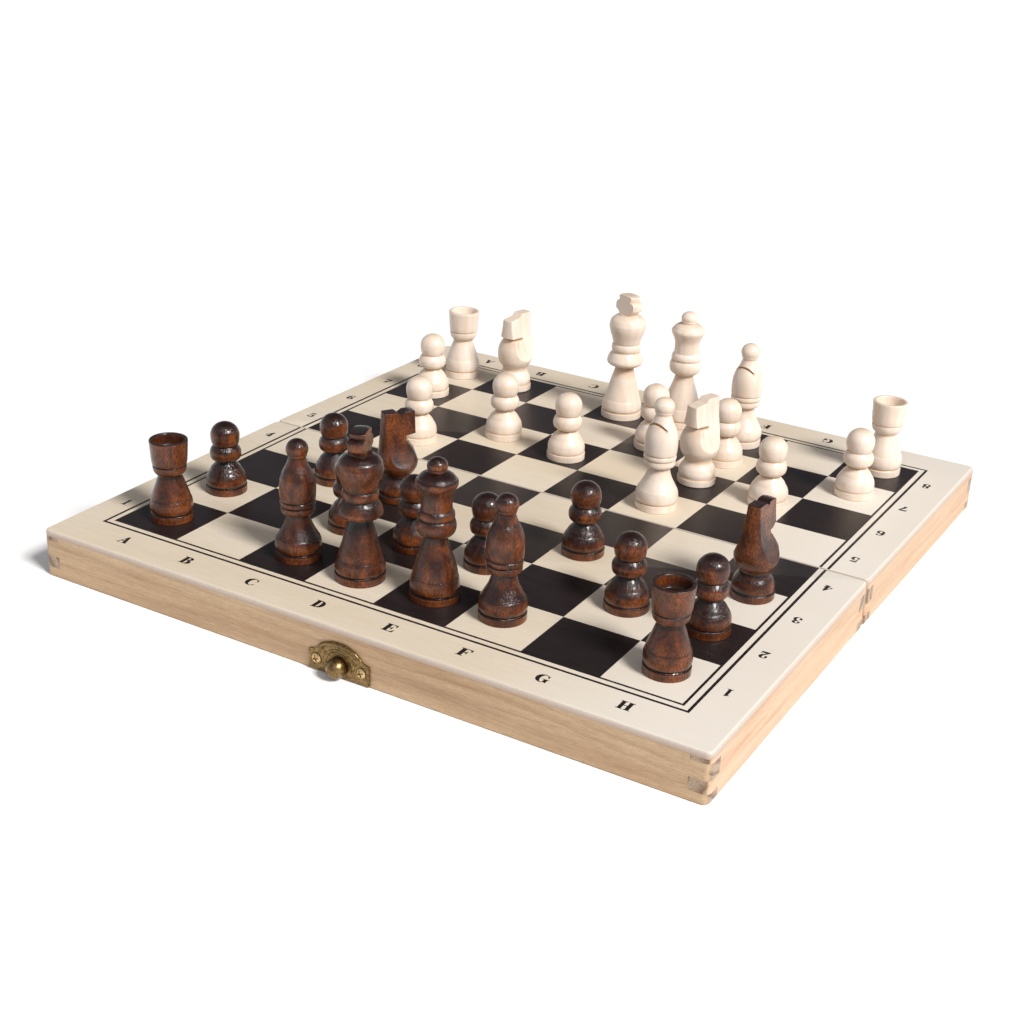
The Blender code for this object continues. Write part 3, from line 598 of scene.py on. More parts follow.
# Each character is its outline and then its holes, in shares of the capital height.
GLYPHS = {
    "A": [[(0.44, 1), (0.60, 1), (0.93, FOOT), (1.02, FOOT), (1.02, 0), (0.50, 0), (0.50, FOOT),
           (0.60, FOOT), (0.53, 0.28), (0.27, 0.28), (0.20, FOOT), (0.30, FOOT), (0.30, 0), (0, 0), (0, FOOT),
           (0.10, FOOT)],
          [(0.30, 0.36), (0.50, 0.36), (0.40, 0.68)]],
    "B": [[*STEM, (0.54, 0), *arc(0.54, 0.275, 0.38, 0.275, -80, 72, 9),
           *arc(0.50, 0.765, 0.34, 0.235, -58, 90, 8), (0, 1)],
          [(0.41, 0.93), *arc(0.46, 0.76, 0.10, 0.17, 90, -90, 7), (0.41, 0.59)],
          [(0.41, 0.50), *arc(0.46, 0.285, 0.13, 0.215, 90, -90, 7), (0.41, FOOT)]],
    "C": [[(0.84, 1), (0.88, 1), (0.88, 0.64), (0.83, 0.64), *arc(0.58, 0.5, 0.25, 0.44, 38, 318, 16),
           (0.84, 0.26), (0.90, 0.24), *arc(0.50, 0.5, 0.50, 0.51, -32, -325, 20)]],
    "D": [[*STEM, (0.44, 0), *arc(0.44, 0.5, 0.48, 0.5, -85, 90, 14), (0, 1)],
          [(0.41, 0.93), *arc(0.44, 0.5, 0.15, 0.43, 90, -90, 10), (0.41, FOOT)]],
    "E": [[*STEM, (0.90, 0), (0.90, 0.34), (0.84, 0.34), *arc(0.60, 0.33, 0.23, 0.26, -12, -88, 6),
           (0.41, FOOT), *ARMS]],
    "F": [[*STEM, (0.52, 0), (0.52, FOOT), (0.41, FOOT), *ARMS]],
    "G": [[(0.84, 1), (0.88, 1), (0.88, 0.64), (0.83, 0.64), *arc(0.58, 0.5, 0.25, 0.44, 38, 280, 14),
           (0.66, 0.10), (0.66, 0.40), (0.54, 0.40), (0.54, 0.47), (1.02, 0.47), (1.02, 0.40),
           (0.93, 0.40), (0.93, 0.02), (0.88, 0.02), (0.80, 0.10),
           *arc(0.50, 0.5, 0.50, 0.51, -60, -325, 18)]],
    "H": [[*STEM, (0.48, 0), (0.48, FOOT), (0.39, FOOT), (0.39, 0.46), (0.65, 0.46), (0.65, FOOT),
           (0.56, FOOT), (0.56, 0), (1.04, 0), (1.04, FOOT), (0.94, FOOT), (0.94, 0.93), (1.04, 0.93),
           (1.04, 1), (0.56, 1), (0.56, 0.93), (0.65, 0.93), (0.65, 0.54), (0.39, 0.54), (0.39, 0.93),
           (0.48, 0.93), (0.48, 1), (0, 1)]],
    "1": [[(0.10, 0), (0.66, 0), (0.66, FOOT), (0.53, FOOT), (0.53, 1), (0.44, 1), (0.08, 0.87), (0.08, 0.80),
           (0.23, 0.83), (0.23, FOOT), (0.10, FOOT)]],
    "2": [[(0.04, 0), (0.66, 0), (0.72, 0.32), (0.66, 0.32), (0.60, 0.22), (0.30, 0.22), (0.60, 0.50),
           *arc(0.38, 0.72, 0.32, 0.28, -20, 175, 14), (0.10, 0.60), (0.22, 0.56), (0.28, 0.66), (0.22, 0.78),
           *arc(0.33, 0.78, 0.11, 0.15, 150, -20, 6), (0.42, 0.58), (0.04, 0.10)]],
    "3": [[(0.06, 0.80), (0.08, 0.66), (0.20, 0.62), (0.27, 0.72), (0.20, 0.84),
           *arc(0.32, 0.77, 0.10, 0.16, 140, -90, 8), (0.24, 0.58), (0.24, 0.50), (0.34, 0.50),
           *arc(0.34, 0.28, 0.12, 0.22, 80, -120, 8), *HOOK, *arc(0.36, 0.29, 0.34, 0.29, -150, 65, 14),
           *arc(0.36, 0.76, 0.29, 0.24, -50, 160, 12)]],
    "4": [[(0.24, 0), (0.72, 0), (0.72, FOOT), (0.62, FOOT), (0.62, 0.24), (0.76, 0.24), (0.76, 0.33),
           (0.62, 0.33), (0.62, 1), (0.50, 1), (0.02, 0.34), (0.02, 0.24), (0.34, 0.24), (0.34, FOOT),
           (0.24, FOOT)],
          [(0.12, 0.33), (0.34, 0.33), (0.34, 0.66)]],
    "5": [[(0.12, 1), (0.12, 0.46), (0.18, 0.46), *arc(0.32, 0.40, 0.13, 0.16, 120, 20, 5),
           *arc(0.32, 0.30, 0.13, 0.24, 10, -120, 7), *HOOK, *arc(0.36, 0.32, 0.35, 0.32, -150, 105, 14),
           (0.19, 0.60), (0.19, 0.78), (0.58, 0.80), (0.66, 1)]],
    "6": [[*arc(0.37, 0.32, 0.34, 0.32, -175, 110, 14), (0.26, 0.60),
           *arc(0.42, 0.72, 0.15, 0.21, 200, 60, 6), (0.44, 0.84), (0.48, 0.74), (0.60, 0.72), (0.66, 0.84),
           *arc(0.42, 0.66, 0.38, 0.34, 50, 175, 10),
           (0.03, 0.50)],
          [*arc(0.37, 0.30, 0.09, 0.23, 0, 330, 10)]],
    "7": [[(0.20, 0), (0.48, 0), (0.50, 0.30), (0.70, 0.80), (0.70, 1), (0.10, 1), (0.04, 0.66), (0.10, 0.66),
           (0.20, 0.78), (0.54, 0.78), (0.28, 0.36)]],
    "8": [[*arc(0.37, 0.28, 0.35, 0.28, -170, 48, 14), *arc(0.37, 0.76, 0.30, 0.24, -35, 215, 14),
           *arc(0.37, 0.28, 0.35, 0.28, 132, 170, 4)],
          [*arc(0.40, 0.77, 0.11, 0.15, 0, 330, 10)],
          [*arc(0.34, 0.28, 0.12, 0.20, 0, 330, 10)]],
}


def glyph_faces(character, height, width, u, v, upside_down):
    """A character as flat triangles, centred on a spot of the board, in millimetres."""
    curve = bpy.data.curves.new("glyph", "CURVE")
    curve.dimensions = "2D"
    curve.fill_mode = "BOTH"
    far = max(x for x, _ in GLYPHS[character][0])
    for contour in GLYPHS[character]:
        spline = curve.splines.new("POLY")
        spline.points.add(len(contour) - 1)
        for point, (x, y) in zip(spline.points, contour):
            flip = -1 if upside_down else 1
            point.co = (u + flip * (x / far - 0.5) * width, v + flip * (y - 0.5) * height, 0, 1)
        spline.use_cyclic_u = True
    made = bpy.data.objects.new("glyph", curve)
    bpy.context.scene.collection.objects.link(made)
    bpy.context.view_layer.update()
    data = bpy.data.meshes.new_from_object(made.evaluated_get(bpy.context.evaluated_depsgraph_get()))
    verts = [tuple(vert.co) for vert in data.vertices]
    faces = [tuple(face.vertices) for face in data.polygons]
    bpy.data.objects.remove(made, do_unlink=True)
    bpy.data.meshes.remove(data)
    return verts, faces


def coordinates(half):
    """All the letters and digits of one half, as one thin print."""
    way = -1 if half == "front" else 1
    verts = []
    faces = []
    marks = []
    for k, letter in enumerate("ABCDEFGH"):
        across = 5.2 if letter in "HG" else 4.8
        spot = (k - 3.5) * SQUARE, way * 4.365 * SQUARE
        marks.append((letter, LETTER_HEIGHT, across, *spot, half == "rear"))
    for k in range(4):
        digit = str(k + 1 if half == "front" else k + 5)
        level = (k - 3.5 if half == "front" else k + 0.5) * SQUARE
        across = 2.6 if digit == "1" else 3.6
        marks.append((digit, DIGIT_HEIGHT, across, -4.285 * SQUARE, level, False))
        marks.append((digit, DIGIT_HEIGHT, across, 4.30 * SQUARE, level, True))
    for mark in marks:
        points, shapes = glyph_faces(*mark)
        start = len(verts)
        verts += [(way * (x + PRINT_SHIFT), abs(y) - PRINT_SEAM, TOP + INK_LIFT) for x, y, _ in points]
        faces += [tuple(start + i for i in shape) for shape in shapes]
    data = bpy.data.meshes.new("print")
    data.from_pydata(verts, [], faces)
    shaped = bmesh.new()
    shaped.from_mesh(data)
    for face in shaped.faces:
        face.normal_update()
        if face.normal.z < 0:
            face.normal_flip()
    shaped.to_mesh(data)
    shaped.free()
    obj = bpy.data.objects.new("print", data)
    bpy.context.scene.collection.objects.link(obj)
    return obj


for half, base in FRAMES.items():
    place(coordinates(half), half + "_coordinates", base, half + "_half", INK)

# ---- latch ----
knob_low, knob_high = local_box("latch_knob", FRONT)
plate_low, plate_high = local_box("latch_plate", FRONT)
KNOB_Z = (knob_low.z + knob_high.z) / 2
KNOB_R = (knob_high.z - knob_low.z) / 2
BACK = plate_low.y
FACE = plate_high.y
EAR = plate_high.x
FOOT_Z = plate_low.z
CROWN_Z = plate_high.z
PLATE_FACE = FACE - 0.22    # the plate is thinner than its solid, so that its beads stay inside it
screw_low, screw_high = local_box("latch_left_screw", FRONT)
SCREW_X = (screw_low.x + screw_high.x) / 2
SCREW_Z = (screw_low.z + screw_high.z) / 2
SCREW_R = (screw_high.x - screw_low.x) / 2


def eyebrow():
    """The plate: straight foot and ears, and an arch over the knob."""
    ear_top = FOOT_Z + 7.8
    half = [(EAR, FOOT_Z), (EAR, ear_top)]
    half += smooth_run([(EAR - 2.1, ear_top + 0.5), (EAR - 3.4, ear_top + 1.5), (EAR - 5.4, ear_top + 3.5),
                        (EAR - 8.4, CROWN_Z - 1.0), (3.2, CROWN_Z - 0.25), (0.0, CROWN_Z)], 4)
    points = half + [(-x, z) for x, z in reversed(half[:-1])]
    plate = loft([[(x, y, z) for x, z in points] for y in (BACK, PLATE_FACE)], "plate")
    return bevel(plate, 0.16, 3, 40)


def ridge(radius, start, end, thick, steps=40):
    """A half-round raised arc on the plate, concentric with the knob, fading at its ends."""
    made = []
    for i in range(steps + 1):
        turn = math.radians(start + (end - start) * i / steps)
        swell = thick * min(1.0, 6 * math.sin(math.pi * i / steps) + 0.05)
        ring = []
        for a, b in arc(0, 0, swell, swell, 0, 315, 7):
            reach = radius + a
            ring.append((reach * math.cos(turn), PLATE_FACE + b * 0.5, KNOB_Z + reach * math.sin(turn)))
        made.append(ring)
    return loft(made, "ridge")


def brow():
    """A half-round bead that follows the arch, just inside the plate's edge."""
    path = smooth_run([(-EAR + 4.6, FOOT_Z + 9.3), (-EAR + 6.6, FOOT_Z + 11.2), (-4.0, CROWN_Z - 1.55),
                       (0.0, CROWN_Z - 1.15), (4.0, CROWN_Z - 1.55), (EAR - 6.6, FOOT_Z + 11.2),
                       (EAR - 4.6, FOOT_Z + 9.3)], 6)
    made = []
    for i, (x, z) in enumerate(path):
        before, after = path[max(i - 1, 0)], path[min(i + 1, len(path) - 1)]
        out = Vector((after[1] - before[1], before[0] - after[0])).normalized()
        swell = 0.95 * min(1.0, 6 * math.sin(math.pi * i / (len(path) - 1)) + 0.05)
        made.append([(x + out.x * a * swell, PLATE_FACE + b * 0.72 * swell, z + out.y * a * swell)
                     for a, b in arc(0, 0, 1, 1, 0, 315, 7)])
    return loft(made, "brow")


plate = eyebrow()
for x in (-SCREW_X, SCREW_X):
    bore = lathe([(1.25, BACK - 1), (1.25, FACE + 1)], 24, "bore", "Y")
    bore.data.transform(Matrix.Translation((x, 0, SCREW_Z)))
    boolean(plate, bore, "DIFFERENCE")
    seat = lathe([(SCREW_R + 0.3, FACE - 0.5), (SCREW_R + 0.3, FACE + 1)], 40, "seat", "Y")
    seat.data.transform(Matrix.Translation((x, 0, SCREW_Z)))
    boolean(plate, seat, "DIFFERENCE")
bore = lathe([(1.5, BACK - 1), (1.5, FACE + 1)], 24, "bore", "Y")
bore.data.transform(Matrix.Translation((0, 0, KNOB_Z)))
boolean(plate, bore, "DIFFERENCE")
place(plate, "latch_escutcheon", FRONT, "front_half", BRONZE, ["latch_plate"], 40)
place(brow(), "latch_arch_bead", FRONT, "front_half", BRONZE, smooth=60)
place(ridge(6.1, -24, 204, 0.7), "latch_ridge_ring", FRONT, "front_half", BRONZE,
      smooth=60)

ball_y = knob_high.y - KNOB_R - 0.05
turning = arc(0, ball_y, KNOB_R, KNOB_R, 90, -8, 24)
turning[0] = (0.0, turning[0][1])
turning += [(3.7, FACE + 0.42), (3.45, FACE + 0.30), (3.45, FACE + 0.08), (1.15, FACE + 0.08),
            (1.15, BACK - 3.5), (0.0, BACK - 4.2)]
place(lathe(turning, 48, "knob", "Y"), "latch_pull_knob", FRONT @ Matrix.Translation((0, 0, KNOB_Z * MM)),
      "front_half", BRONZE, ["latch_knob"], 50)


def cross_head(seat, radius, sunk=0.48):
    """A raised countersunk head with a cross recess, on a plain shank."""
    profile = [(0.0, seat + 0.62),
               *[(r * radius, seat + 0.62 - 0.5 * r ** 2.4) for r in (0.25, 0.42, 0.6, 0.77, 0.9)],
               (radius, seat + 0.06), (radius - 0.1, seat + 0.03 - sunk), (0.9, seat - sunk),
               (0.9, seat - 4.2), (0.0, seat - 5.4)]
    head = lathe(profile, 40, "screw", "Y")
    for turn in (20, 110):
        slot = box(-1.35, 1.35, seat + 0.1 - sunk, seat + 2, -0.34, 0.34, "slot")
        slot.data.transform(Matrix.Rotation(math.radians(turn), 4, "Y"))
        boolean(head, slot, "DIFFERENCE")
    return head


for label, x in (("left", SCREW_X), ("right", -SCREW_X)):
    place(cross_head(FACE + 0.02, SCREW_R), "latch_" + label + "_wood_screw",
          FRONT @ Matrix.Translation((x * MM, 0, SCREW_Z * MM)), "front_half", SCREWS,
          ["latch_" + label + "_screw"], 35)

hasp_low, hasp_high = local_box("hasp_left_screw", REAR)
hasp_z = (hasp_low.z + hasp_high.z) / 2
for label, x in (("left", -SCREW_X), ("right", SCREW_X)):
    place(cross_head(hasp_high.y - 0.64, SCREW_R, 0.0), "hasp_" + label + "_wood_screw",
          REAR @ Matrix.Translation((x * MM, 0, hasp_z * MM)), "rear_half", SCREWS,
          ["hasp_" + label + "_screw"], 35)

for name, node in frame["nodes"].items():
    if node.hide_render:
        continue
    if "hinge_pin" in name or name == "hasp_pin":
        chosen = STEEL
    elif "leaf" in name or name in ("hasp_plate", "hasp_flap"):
        chosen = BRONZE
    else:
        continue
    node.data.materials.clear()
    node.data.materials.append(chosen)

# Small screws in the hinge leaves, their heads just proud of the rim side of each leaf.
for half, base in FRAMES.items():
    for hinge in ("left", "right"):
        leaf_low, leaf_high = local_box(hinge + "_hinge_" + half + "_leaf", base)
        middle = (leaf_low.x + leaf_high.x) / 2
        for k, x in enumerate((middle - 8, middle + 8)):
            head = lathe([(0.0, 0.0), (1.35, 0.02), (1.45, 0.12), (0.0, 0.9)], 24, "leaf_screw")
            boolean(head, box(-0.95, 0.95, -0.14, 0.14, -1, 0.22, "slot"), "DIFFERENCE")
            spot = base @ Matrix.Translation((x * MM, 4.0 * MM, (RIM - 0.08) * MM))
            place(head, f"{hinge}_{half}_leaf_screw_{k + 1}", spot, half + "_half", SCREWS,
                  smooth=35)

# ---- chessmen ----
def foot_ring(radius, height):
    return [(radius - 0.30, 0.0), (radius - 0.08, 0.08), (radius, 0.35), (radius, height - 0.35),
            (radius - 0.10, height - 0.08), (radius - 0.35, height)]


# Each profile is a list of runs; a run is smooth, and the piece has a crease between runs.
PROFILES = {
    "pawn": [foot_ring(8.6, 2.9),
             [(8.0, 3.15), (8.3, 3.8), (8.4, 5.0), (8.15, 6.9), (7.5, 8.4), (6.9, 9.3)],
             [(6.75, 9.6), (6.1, 10.7), (4.9, 12.0), (4.1, 13.0)],
             [(3.9, 13.4), (4.9, 13.9), (6.15, 15.0), (6.55, 16.6), (6.45, 18.1), (5.9, 19.3), (5.3, 20.1)],
             [(5.05, 20.4), (5.6, 21.5), (5.98, 23.2), *arc(0, 24.9, 6.05, 5.6, 0, 90, 12)]],
    "rook": [foot_ring(8.6, 3.0),
             [(8.0, 3.3), (8.45, 4.1), (8.7, 5.6), (8.6, 7.4), (8.2, 9.0)],
             [(8.0, 9.3), (7.3, 11.6), (6.2, 14.7), (5.2, 17.6), (4.75, 18.9)],
             [(4.75, 19.1), (5.5, 19.7), (6.4, 20.8), (6.75, 22.2), (6.75, 23.2)],
             [(6.45, 23.5), (6.9, 24.0), (7.15, 25.4), (7.35, 28.2), (7.55, 31.2), (7.7, 33.3), (7.6, 33.85),
              (7.3, 34.0), (6.5, 34.0), (6.25, 33.85), (6.0, 33.2), (5.5, 31.0), (5.2, 30.0), (4.6, 29.3),
              (2.4, 29.0), (0.0, 29.0)]],
    "bishop": [foot_ring(9.0, 2.9),
               [(8.35, 3.2), (8.85, 3.9), (9.1, 5.2), (8.95, 7.0), (8.45, 8.6)],
               [(8.2, 8.9), (7.1, 10.9), (5.8, 13.4), (4.9, 16.0), (4.4, 18.3)],
               [(4.4, 18.55), (5.7, 18.8), (6.45, 19.3), (6.7, 20.3), (6.6, 21.5)],
               [(6.25, 21.8), (6.75, 22.2), (6.9, 23.0), (6.75, 23.8)],
               [(6.45, 24.1), (6.85, 24.6), (7.0, 26.4), (7.05, 29.6), (6.6, 33.0), (5.5, 36.0), (4.25, 38.5),
                (3.5, 40.6)],
               [(3.3, 41.4), (3.7, 42.1), *arc(0, 44.7, 4.3, 4.0, -28, 90, 14)]],
    "queen": [foot_ring(9.6, 2.8),
              [(8.8, 3.1), (9.2, 3.8), (9.35, 5.2), (9.1, 7.4), (8.8, 8.8)],
              [(8.6, 9.1), (8.2, 11.6), (7.2, 15.3), (5.9, 18.9), (4.8, 22.2), (4.3, 24.4)],
              [(4.25, 24.8), (5.6, 25.5), (6.9, 26.7), (7.45, 28.4), (7.4, 30.2), (6.9, 31.7)],
              [(6.5, 32.1), (6.85, 32.9), (6.75, 34.3), (6.2, 35.4)],
              [(5.85, 35.8), (5.8, 38.3), (5.95, 41.0), (6.6, 43.0), (7.45, 44.7), (7.9, 46.1), (7.65, 47.1)],
              [(7.2, 47.4), (6.5, 48.5), (5.0, 49.5), (3.7, 49.95)],
              [(3.4, 50.15), (3.7, 50.8), *arc(0, 52.4, 3.85, 3.2, -22, 90, 12)]],
    "king": [foot_ring(9.7, 3.0),
             [(9.05, 3.3), (9.5, 4.0), (9.65, 5.2), (9.35, 7.2), (8.9, 8.6)],
             [(8.7, 8.9), (7.95, 11.8), (7.0, 15.0), (6.1, 18.6), (5.1, 21.8), (4.4, 24.4)],
             [(4.35, 25.2), (6.2, 25.6), (7.8, 26.3), (8.6, 27.4), (8.55, 28.6), (7.9, 30.3), (7.3, 31.5)],
             [(7.0, 31.8), (6.5, 32.5)],
             [(6.4, 32.8), (6.85, 33.5), (6.95, 34.9), (6.6, 36.2)],
             [(6.3, 36.5), (6.7, 38.0), (7.3, 40.0), (8.1, 42.2), (8.6, 44.2), (8.7, 45.9)],
             [(8.5, 46.5), (7.9, 48.2), (6.4, 49.6), (5.0, 50.3)],
             [(4.5, 50.6), (4.7, 51.6), (5.6, 52.6), (6.5, 53.2), (6.65, 54.8), (6.45, 56.3), (5.6, 57.0)],
             [(4.7, 57.3), (4.95, 58.3), (5.1, 59.2), (4.7, 59.75), (2.6, 60.05), (0.0, 60.1)]],
}


def knight_profile(head):
    """Foot and bell, then the chest and whatever stands on it."""
    return [foot_ring(8.5, 3.0),
            [(7.9, 3.3), (8.15, 4.2), (8.15, 5.6), (7.5, 7.6), (6.55, 9.1), (6.0, 10.3)],
            [(5.85, 10.7), (6.1, 11.7), (7.2, 13.0), (8.2, 14.9), (8.65, 17.2), *head]]


def revolve(runs, segments=72, per=4):
    """Turns the runs, and marks each ring by how far it lies inside the rings around it: the painted shade
    and pooled stain of the hollows.
    """
    points = [(max(r, 0.0), z) for run in runs for r, z in smooth_run(run, per)]
    marks = []
    for radius, height in points:
        over = max([r for r, z in points if 0 <= z - height < 1.0])
        under = max([r for r, z in points if 0 <= height - z < 1.0])
        above = max([r - radius - 0.25 * (z - height) for r, z in points if 0 <= z - height < 7])
        below = max([r - radius - 0.55 * (height - z) for r, z in points if 0 <= height - z < 5])
        marks.append(min(1.0, max(2.4 * (min(over, under) - radius), 0.26 * above, 0.18 * below)))
    crest = max(range(len(points)), key=lambda i: points[i][1])
    # Inside a cup, past the crest, the painted shade is kept faint.
    marks[crest + 1:] = [0.15] * (len(points) - crest - 1)
    obj = lathe(points, segments)
    # The recess attribute carries the painted shade and pooled stain of the hollows.
    shade_and_stain_layer = obj.data.attributes.new("recess", "FLOAT", "POINT")
    values = []
    for (radius, _), mark in zip(points, marks):
        values += [mark] * (1 if radius < 1e-6 else segments)
    shade_and_stain_layer.data.foreach_set("value", values)
    return obj


# A knight's cheeks as (half width, height), and the dark one's keel as (height over its start, reach).
CROWN = 39.3
LIGHT_CHEEKS = [(9.4, 15.0), (7.7, 17.2), (6.7, 19.5), (5.9, 22.0), (5.1, 24.6), (4.2, 27.4), (3.5, 30.6),
                (2.95, 35.0), (2.5, 42.0)]
LIGHT_CHEST = [(8.75, 19.4), (8.4, 21.8), (7.6, 23.9), (6.4, 25.6), (5.2, 26.4), (0.0, 26.6)]
LIGHT_BLANK = [(7.9, 15.5), (8.5, 19.5), (8.35, 22.5), (7.9, 28.0), (7.6, 34.0), (7.45, 39.0), (7.4, 41.0)]
LIGHT_JAW = 26.95
DARK_CHEEKS = [(8.9, 15.0), (7.4, 17.6), (6.2, 20.2), (5.1, 22.8), (4.3, 25.4), (3.8, 28.2), (3.3, 32.0),
               (2.8, 36.5), (2.4, 42.0)]
DARK_BLANK = [(8.45, 19.4), (7.95, 22.5), (7.5, 28.0), (7.2, 34.0), (7.05, 39.0), (7.0, 41.0)]
DARK_KEEL = [(0.0, 9.2), (1.8, 8.9), (4.4, 8.0), (6.4, 7.1), (8.6, 5.6), (10.6, 4.0), (11.8, 3.0)]


def flank(side, cheeks):
    """Takes away everything outside one cheek, which flares into the round chest below."""
    made = []
    for start, z in smooth_run(cheeks, 4):
        made.append([(-20, side * start, z), (20, side * start, z), (20, side * 30, z), (-20, side * 30, z)])
    return loft(made, "flank")


def breast(side):
    """Takes away one side of the dark knight's chest, so both leave a keel under the jaw."""
    made = []
    for rise, start in smooth_run([(-2.2, 12.2), *DARK_KEEL], 3):
        made.append([(start, -side * 0.01, 15.8 + rise), (30, -side * 0.01, 15.8 + rise),
                     (30, side * 20, 15.8 + rise), (start - 7, side * 20, 15.8 + rise)])
    return loft(made, "breast")


def across(points):
    return loft([[(x, y, z) for x, z in points] for y in (-20, 20)], "cutter")


def knight(name):
    """A sawn horse's head on a turned base, facing +X, its edges eased by sanding."""
    dark = name.startswith("dark")
    body = revolve(knight_profile(DARK_BLANK if dark else LIGHT_CHEST), 64, 4)
    if not dark:
        head = lathe(LIGHT_BLANK, 64, "head")
        boolean(head, box(3.4, 20, -20, 20, 0, LIGHT_JAW), "DIFFERENCE")
        boolean(body, head, "UNION")
    for side in (1, -1):
        boolean(body, flank(side, DARK_CHEEKS if dark else LIGHT_CHEEKS), "DIFFERENCE")
        if dark:
            boolean(body, breast(side), "DIFFERENCE")
    if dark:
        notch, rise = (28.7, 0.16) if name.endswith("c") else (26.9, 0.52)
        ears = [(0.6, CROWN - 1.5), (2.2, CROWN - 0.35), (4.4, CROWN - 0.25), (20, CROWN - 3.5), (20, 60),
                (-20, 60), (-20, CROWN - 0.3), (-1.4, CROWN - 0.2)]
        jaw = [(2.0, notch), (20, notch + 18 * rise), (20, 20.0), (4.6, notch - 2.3), (3.0, notch - 1.2),
               (2.2, notch - 0.5)]
    else:
        ears = [(0.9, CROWN - 2.1), (20, CROWN - 5.2), (20, 60), (-20, 60), (-20, CROWN),
                (-0.9, CROWN - 0.35)]
        jaw = [(-0.4, LIGHT_JAW), (20, LIGHT_JAW + 0.45), (20, 26.4), (-0.4, 26.4)]
    boolean(body, across(ears), "DIFFERENCE")
    boolean(body, across(jaw), "DIFFERENCE")
    step = body.modifiers.new("even", "REMESH")
    step.mode = "VOXEL"
    step.voxel_size = 0.22
    ease = body.modifiers.new("ease", "SMOOTH")
    ease.factor = 0.5
    ease.iterations = 4
    applied(body)
    shade_and_stain_layer = body.data.attributes.new("recess", "FLOAT", "POINT")
    values = []
    for v in body.data.vertices:
        x, _, z = v.co
        # Painted shade and pooled stain: dark rings at the foot groove and the neck, and on the pale knight
        # painted shade in the jaw slit and on the chest under the jaw.
        mark = max(math.exp(-((z - 3.15) / 0.35) ** 2), 0.8 * math.exp(-((z - 10.6) / 0.8) ** 2))
        if not dark and x > 0 and 25.9 < z < 27.5 and x < 5.2:
            mark = max(mark, 0.8)
        if not dark and x > 3:
            mark = max(mark, 0.5 * math.exp(-((z - 24.6) / 2.4) ** 2))
        values.append(mark)
    shade_and_stain_layer.data.foreach_set("value", values)
    return body


def chessman(kind):
    """A turned man of one kind, with the bishop's saw kerf or the king's two flats."""
    body = revolve(PROFILES[kind])
    if kind == "bishop":
        lean = math.radians(58)
        foot_x, foot_z, half_cut = 3.0, 35.6, 0.36
        kerf = box(0, 20, -20, 20, -half_cut, half_cut, "kerf")
        kerf.data.transform(Matrix.Translation((foot_x, 0, foot_z)) @ Matrix.Rotation(-lean, 4, "Y"))
        boolean(body, kerf, "DIFFERENCE")
        # Painted shade: the inside of the saw kerf is painted full dark.
        for v, mark in zip(body.data.vertices, body.data.attributes["recess"].data):
            off = abs((v.co.z - foot_z) * math.cos(lean) - (v.co.x - foot_x) * math.sin(lean))
            if v.co.x > 2.6 and off < 0.45 and 34 < v.co.z < 39:
                mark.value = 1.0
    if kind == "king":
        for side in (-1, 1):
            x0, x1 = sorted((side * 3.0, side * 20))
            boolean(body, box(x0, x1, -20, 20, 50.9, 70), "DIFFERENCE")
    return body


# Which way a man faces, in degrees; the round ones not listed get a turn made from their name.
HEADINGS = {"dark_rook_h": 20, "dark_knight_c": 58, "dark_knight_h": 86, "dark_bishop_c": 100,
            "dark_bishop_f": 130, "dark_king": 17, "light_rook_h": 20, "light_knight_b": 258,
            "light_knight_f": 250, "light_bishop_low": 258, "light_bishop_f": 260, "light_king": 69}
TEMPLATES = {}
for name in sorted(frame["nodes"]):
    colour, kind = name.split("_")[0], name.split("_")[1]
    if colour not in ("dark", "light"):
        continue
    base = FRONT if colour == "dark" else REAR
    low, high = local_box(name, base)
    points = [base.inverted() @ v.co / MM for v in frame["nodes"][name].data.vertices]
    foot = [p for p in points if p.z < low.z + 1.5]
    cx = (min(p.x for p in foot) + max(p.x for p in foot)) / 2
    cy = (min(p.y for p in foot) + max(p.y for p in foot)) / 2
    heading = HEADINGS.get(name, (len(name) * 47 + sum(map(ord, name)) * 31) % 360)
    if base is FRONT:
        heading += 180
    key = name if kind == "knight" else kind
    if key not in TEMPLATES:
        TEMPLATES[key] = knight(name) if kind == "knight" else chessman(kind)
    body = bpy.data.objects.new(name, TEMPLATES[key].data.copy())
    bpy.context.scene.collection.objects.link(body)
    turned = Matrix.Rotation(math.radians(heading), 4, "Z")
    spot = base @ Matrix.Translation((cx * MM, cy * MM, low.z * MM)) @ turned
    place(body, name + "_turning", spot, name, DARK if colour == "dark" else LIGHT, [name],
          32)
for template in TEMPLATES.values():
    bpy.data.objects.remove(template, do_unlink=True)

# ---- studio ----
scene = bpy.context.scene
scene.view_settings.view_transform = "Standard"
scene.view_settings.look = "None"

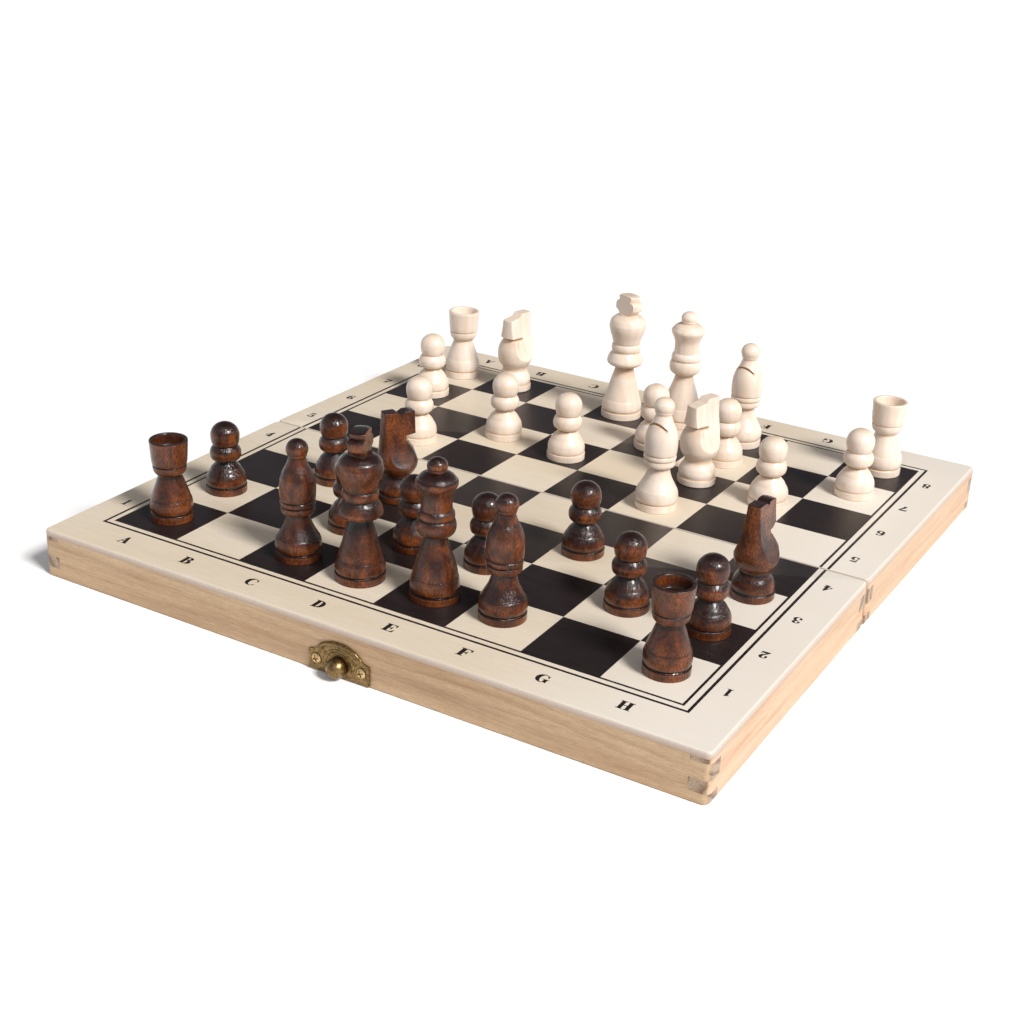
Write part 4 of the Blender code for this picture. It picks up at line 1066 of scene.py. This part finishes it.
floor = box(-6000, 6000, -6000, 6000, -20, -0.02, "floor")
floor.data.transform(Matrix.Scale(MM, 4))
g = Graph("floor_paper")
tone = g.noise(millimetres(g), 0.004, 2.0)
floor.data.materials.append(g.finish(g.mix(tone, (0.95, 0.95, 0.95), (0.97, 0.97, 0.97)), 0.85))

world = bpy.data.worlds.new("studio")
scene.world = world
world.use_nodes = True
tree = world.node_tree
background = tree.nodes["Background"]
sky = tree.nodes.new("ShaderNodeTexCoord")
toward = tree.nodes.new("ShaderNodeVectorMath")
toward.operation = "DOT_PRODUCT"
toward.inputs[1].default_value = Vector((-0.32, 0.58, 0.75)).normalized()
tree.links.new(sky.outputs["Generated"], toward.inputs[0])
shade = tree.nodes.new("ShaderNodeValToRGB")
tree.links.new(toward.outputs["Value"], shade.inputs[0])
shade.color_ramp.elements[0].position = 0.45
shade.color_ramp.elements[0].color = (0.50, 0.51, 0.53, 1)
shade.color_ramp.elements[1].position = 0.88
shade.color_ramp.elements[1].color = (0.10, 0.10, 0.11, 1)
tree.links.new(shade.outputs[0], background.inputs[0])
background.inputs[1].default_value = 1.0

key = bpy.data.lights.new("key", "SUN")
key.energy = 3.85
key.angle = math.radians(16)
key.color = (1.0, 0.98, 0.95)
lamp = bpy.data.objects.new("key", key)
scene.collection.objects.link(lamp)
lamp.rotation_euler = Vector((-0.72, 0.20, -0.70)).to_track_quat("-Z", "Y").to_euler()

camera = bpy.data.objects.new("camera", bpy.data.cameras.new("camera"))
scene.collection.objects.link(camera)
camera.data.lens = 56.32
camera.data.sensor_width = 36.0
camera.data.shift_x = 0.001
camera.data.shift_y = 0.0006
camera.data.clip_start = 0.01
camera.data.clip_end = 50
spot = Matrix.Translation((0.29836, FOLD.y - 0.55515, 0.2911))
pan = Matrix.Rotation(math.radians(29.53), 4, "Z")
tilt = Matrix.Rotation(math.radians(66.04), 4, "X")
roll = Matrix.Rotation(math.radians(2.73), 4, "Z")
camera.matrix_world = spot @ pan @ tilt @ roll
scene.camera = camera
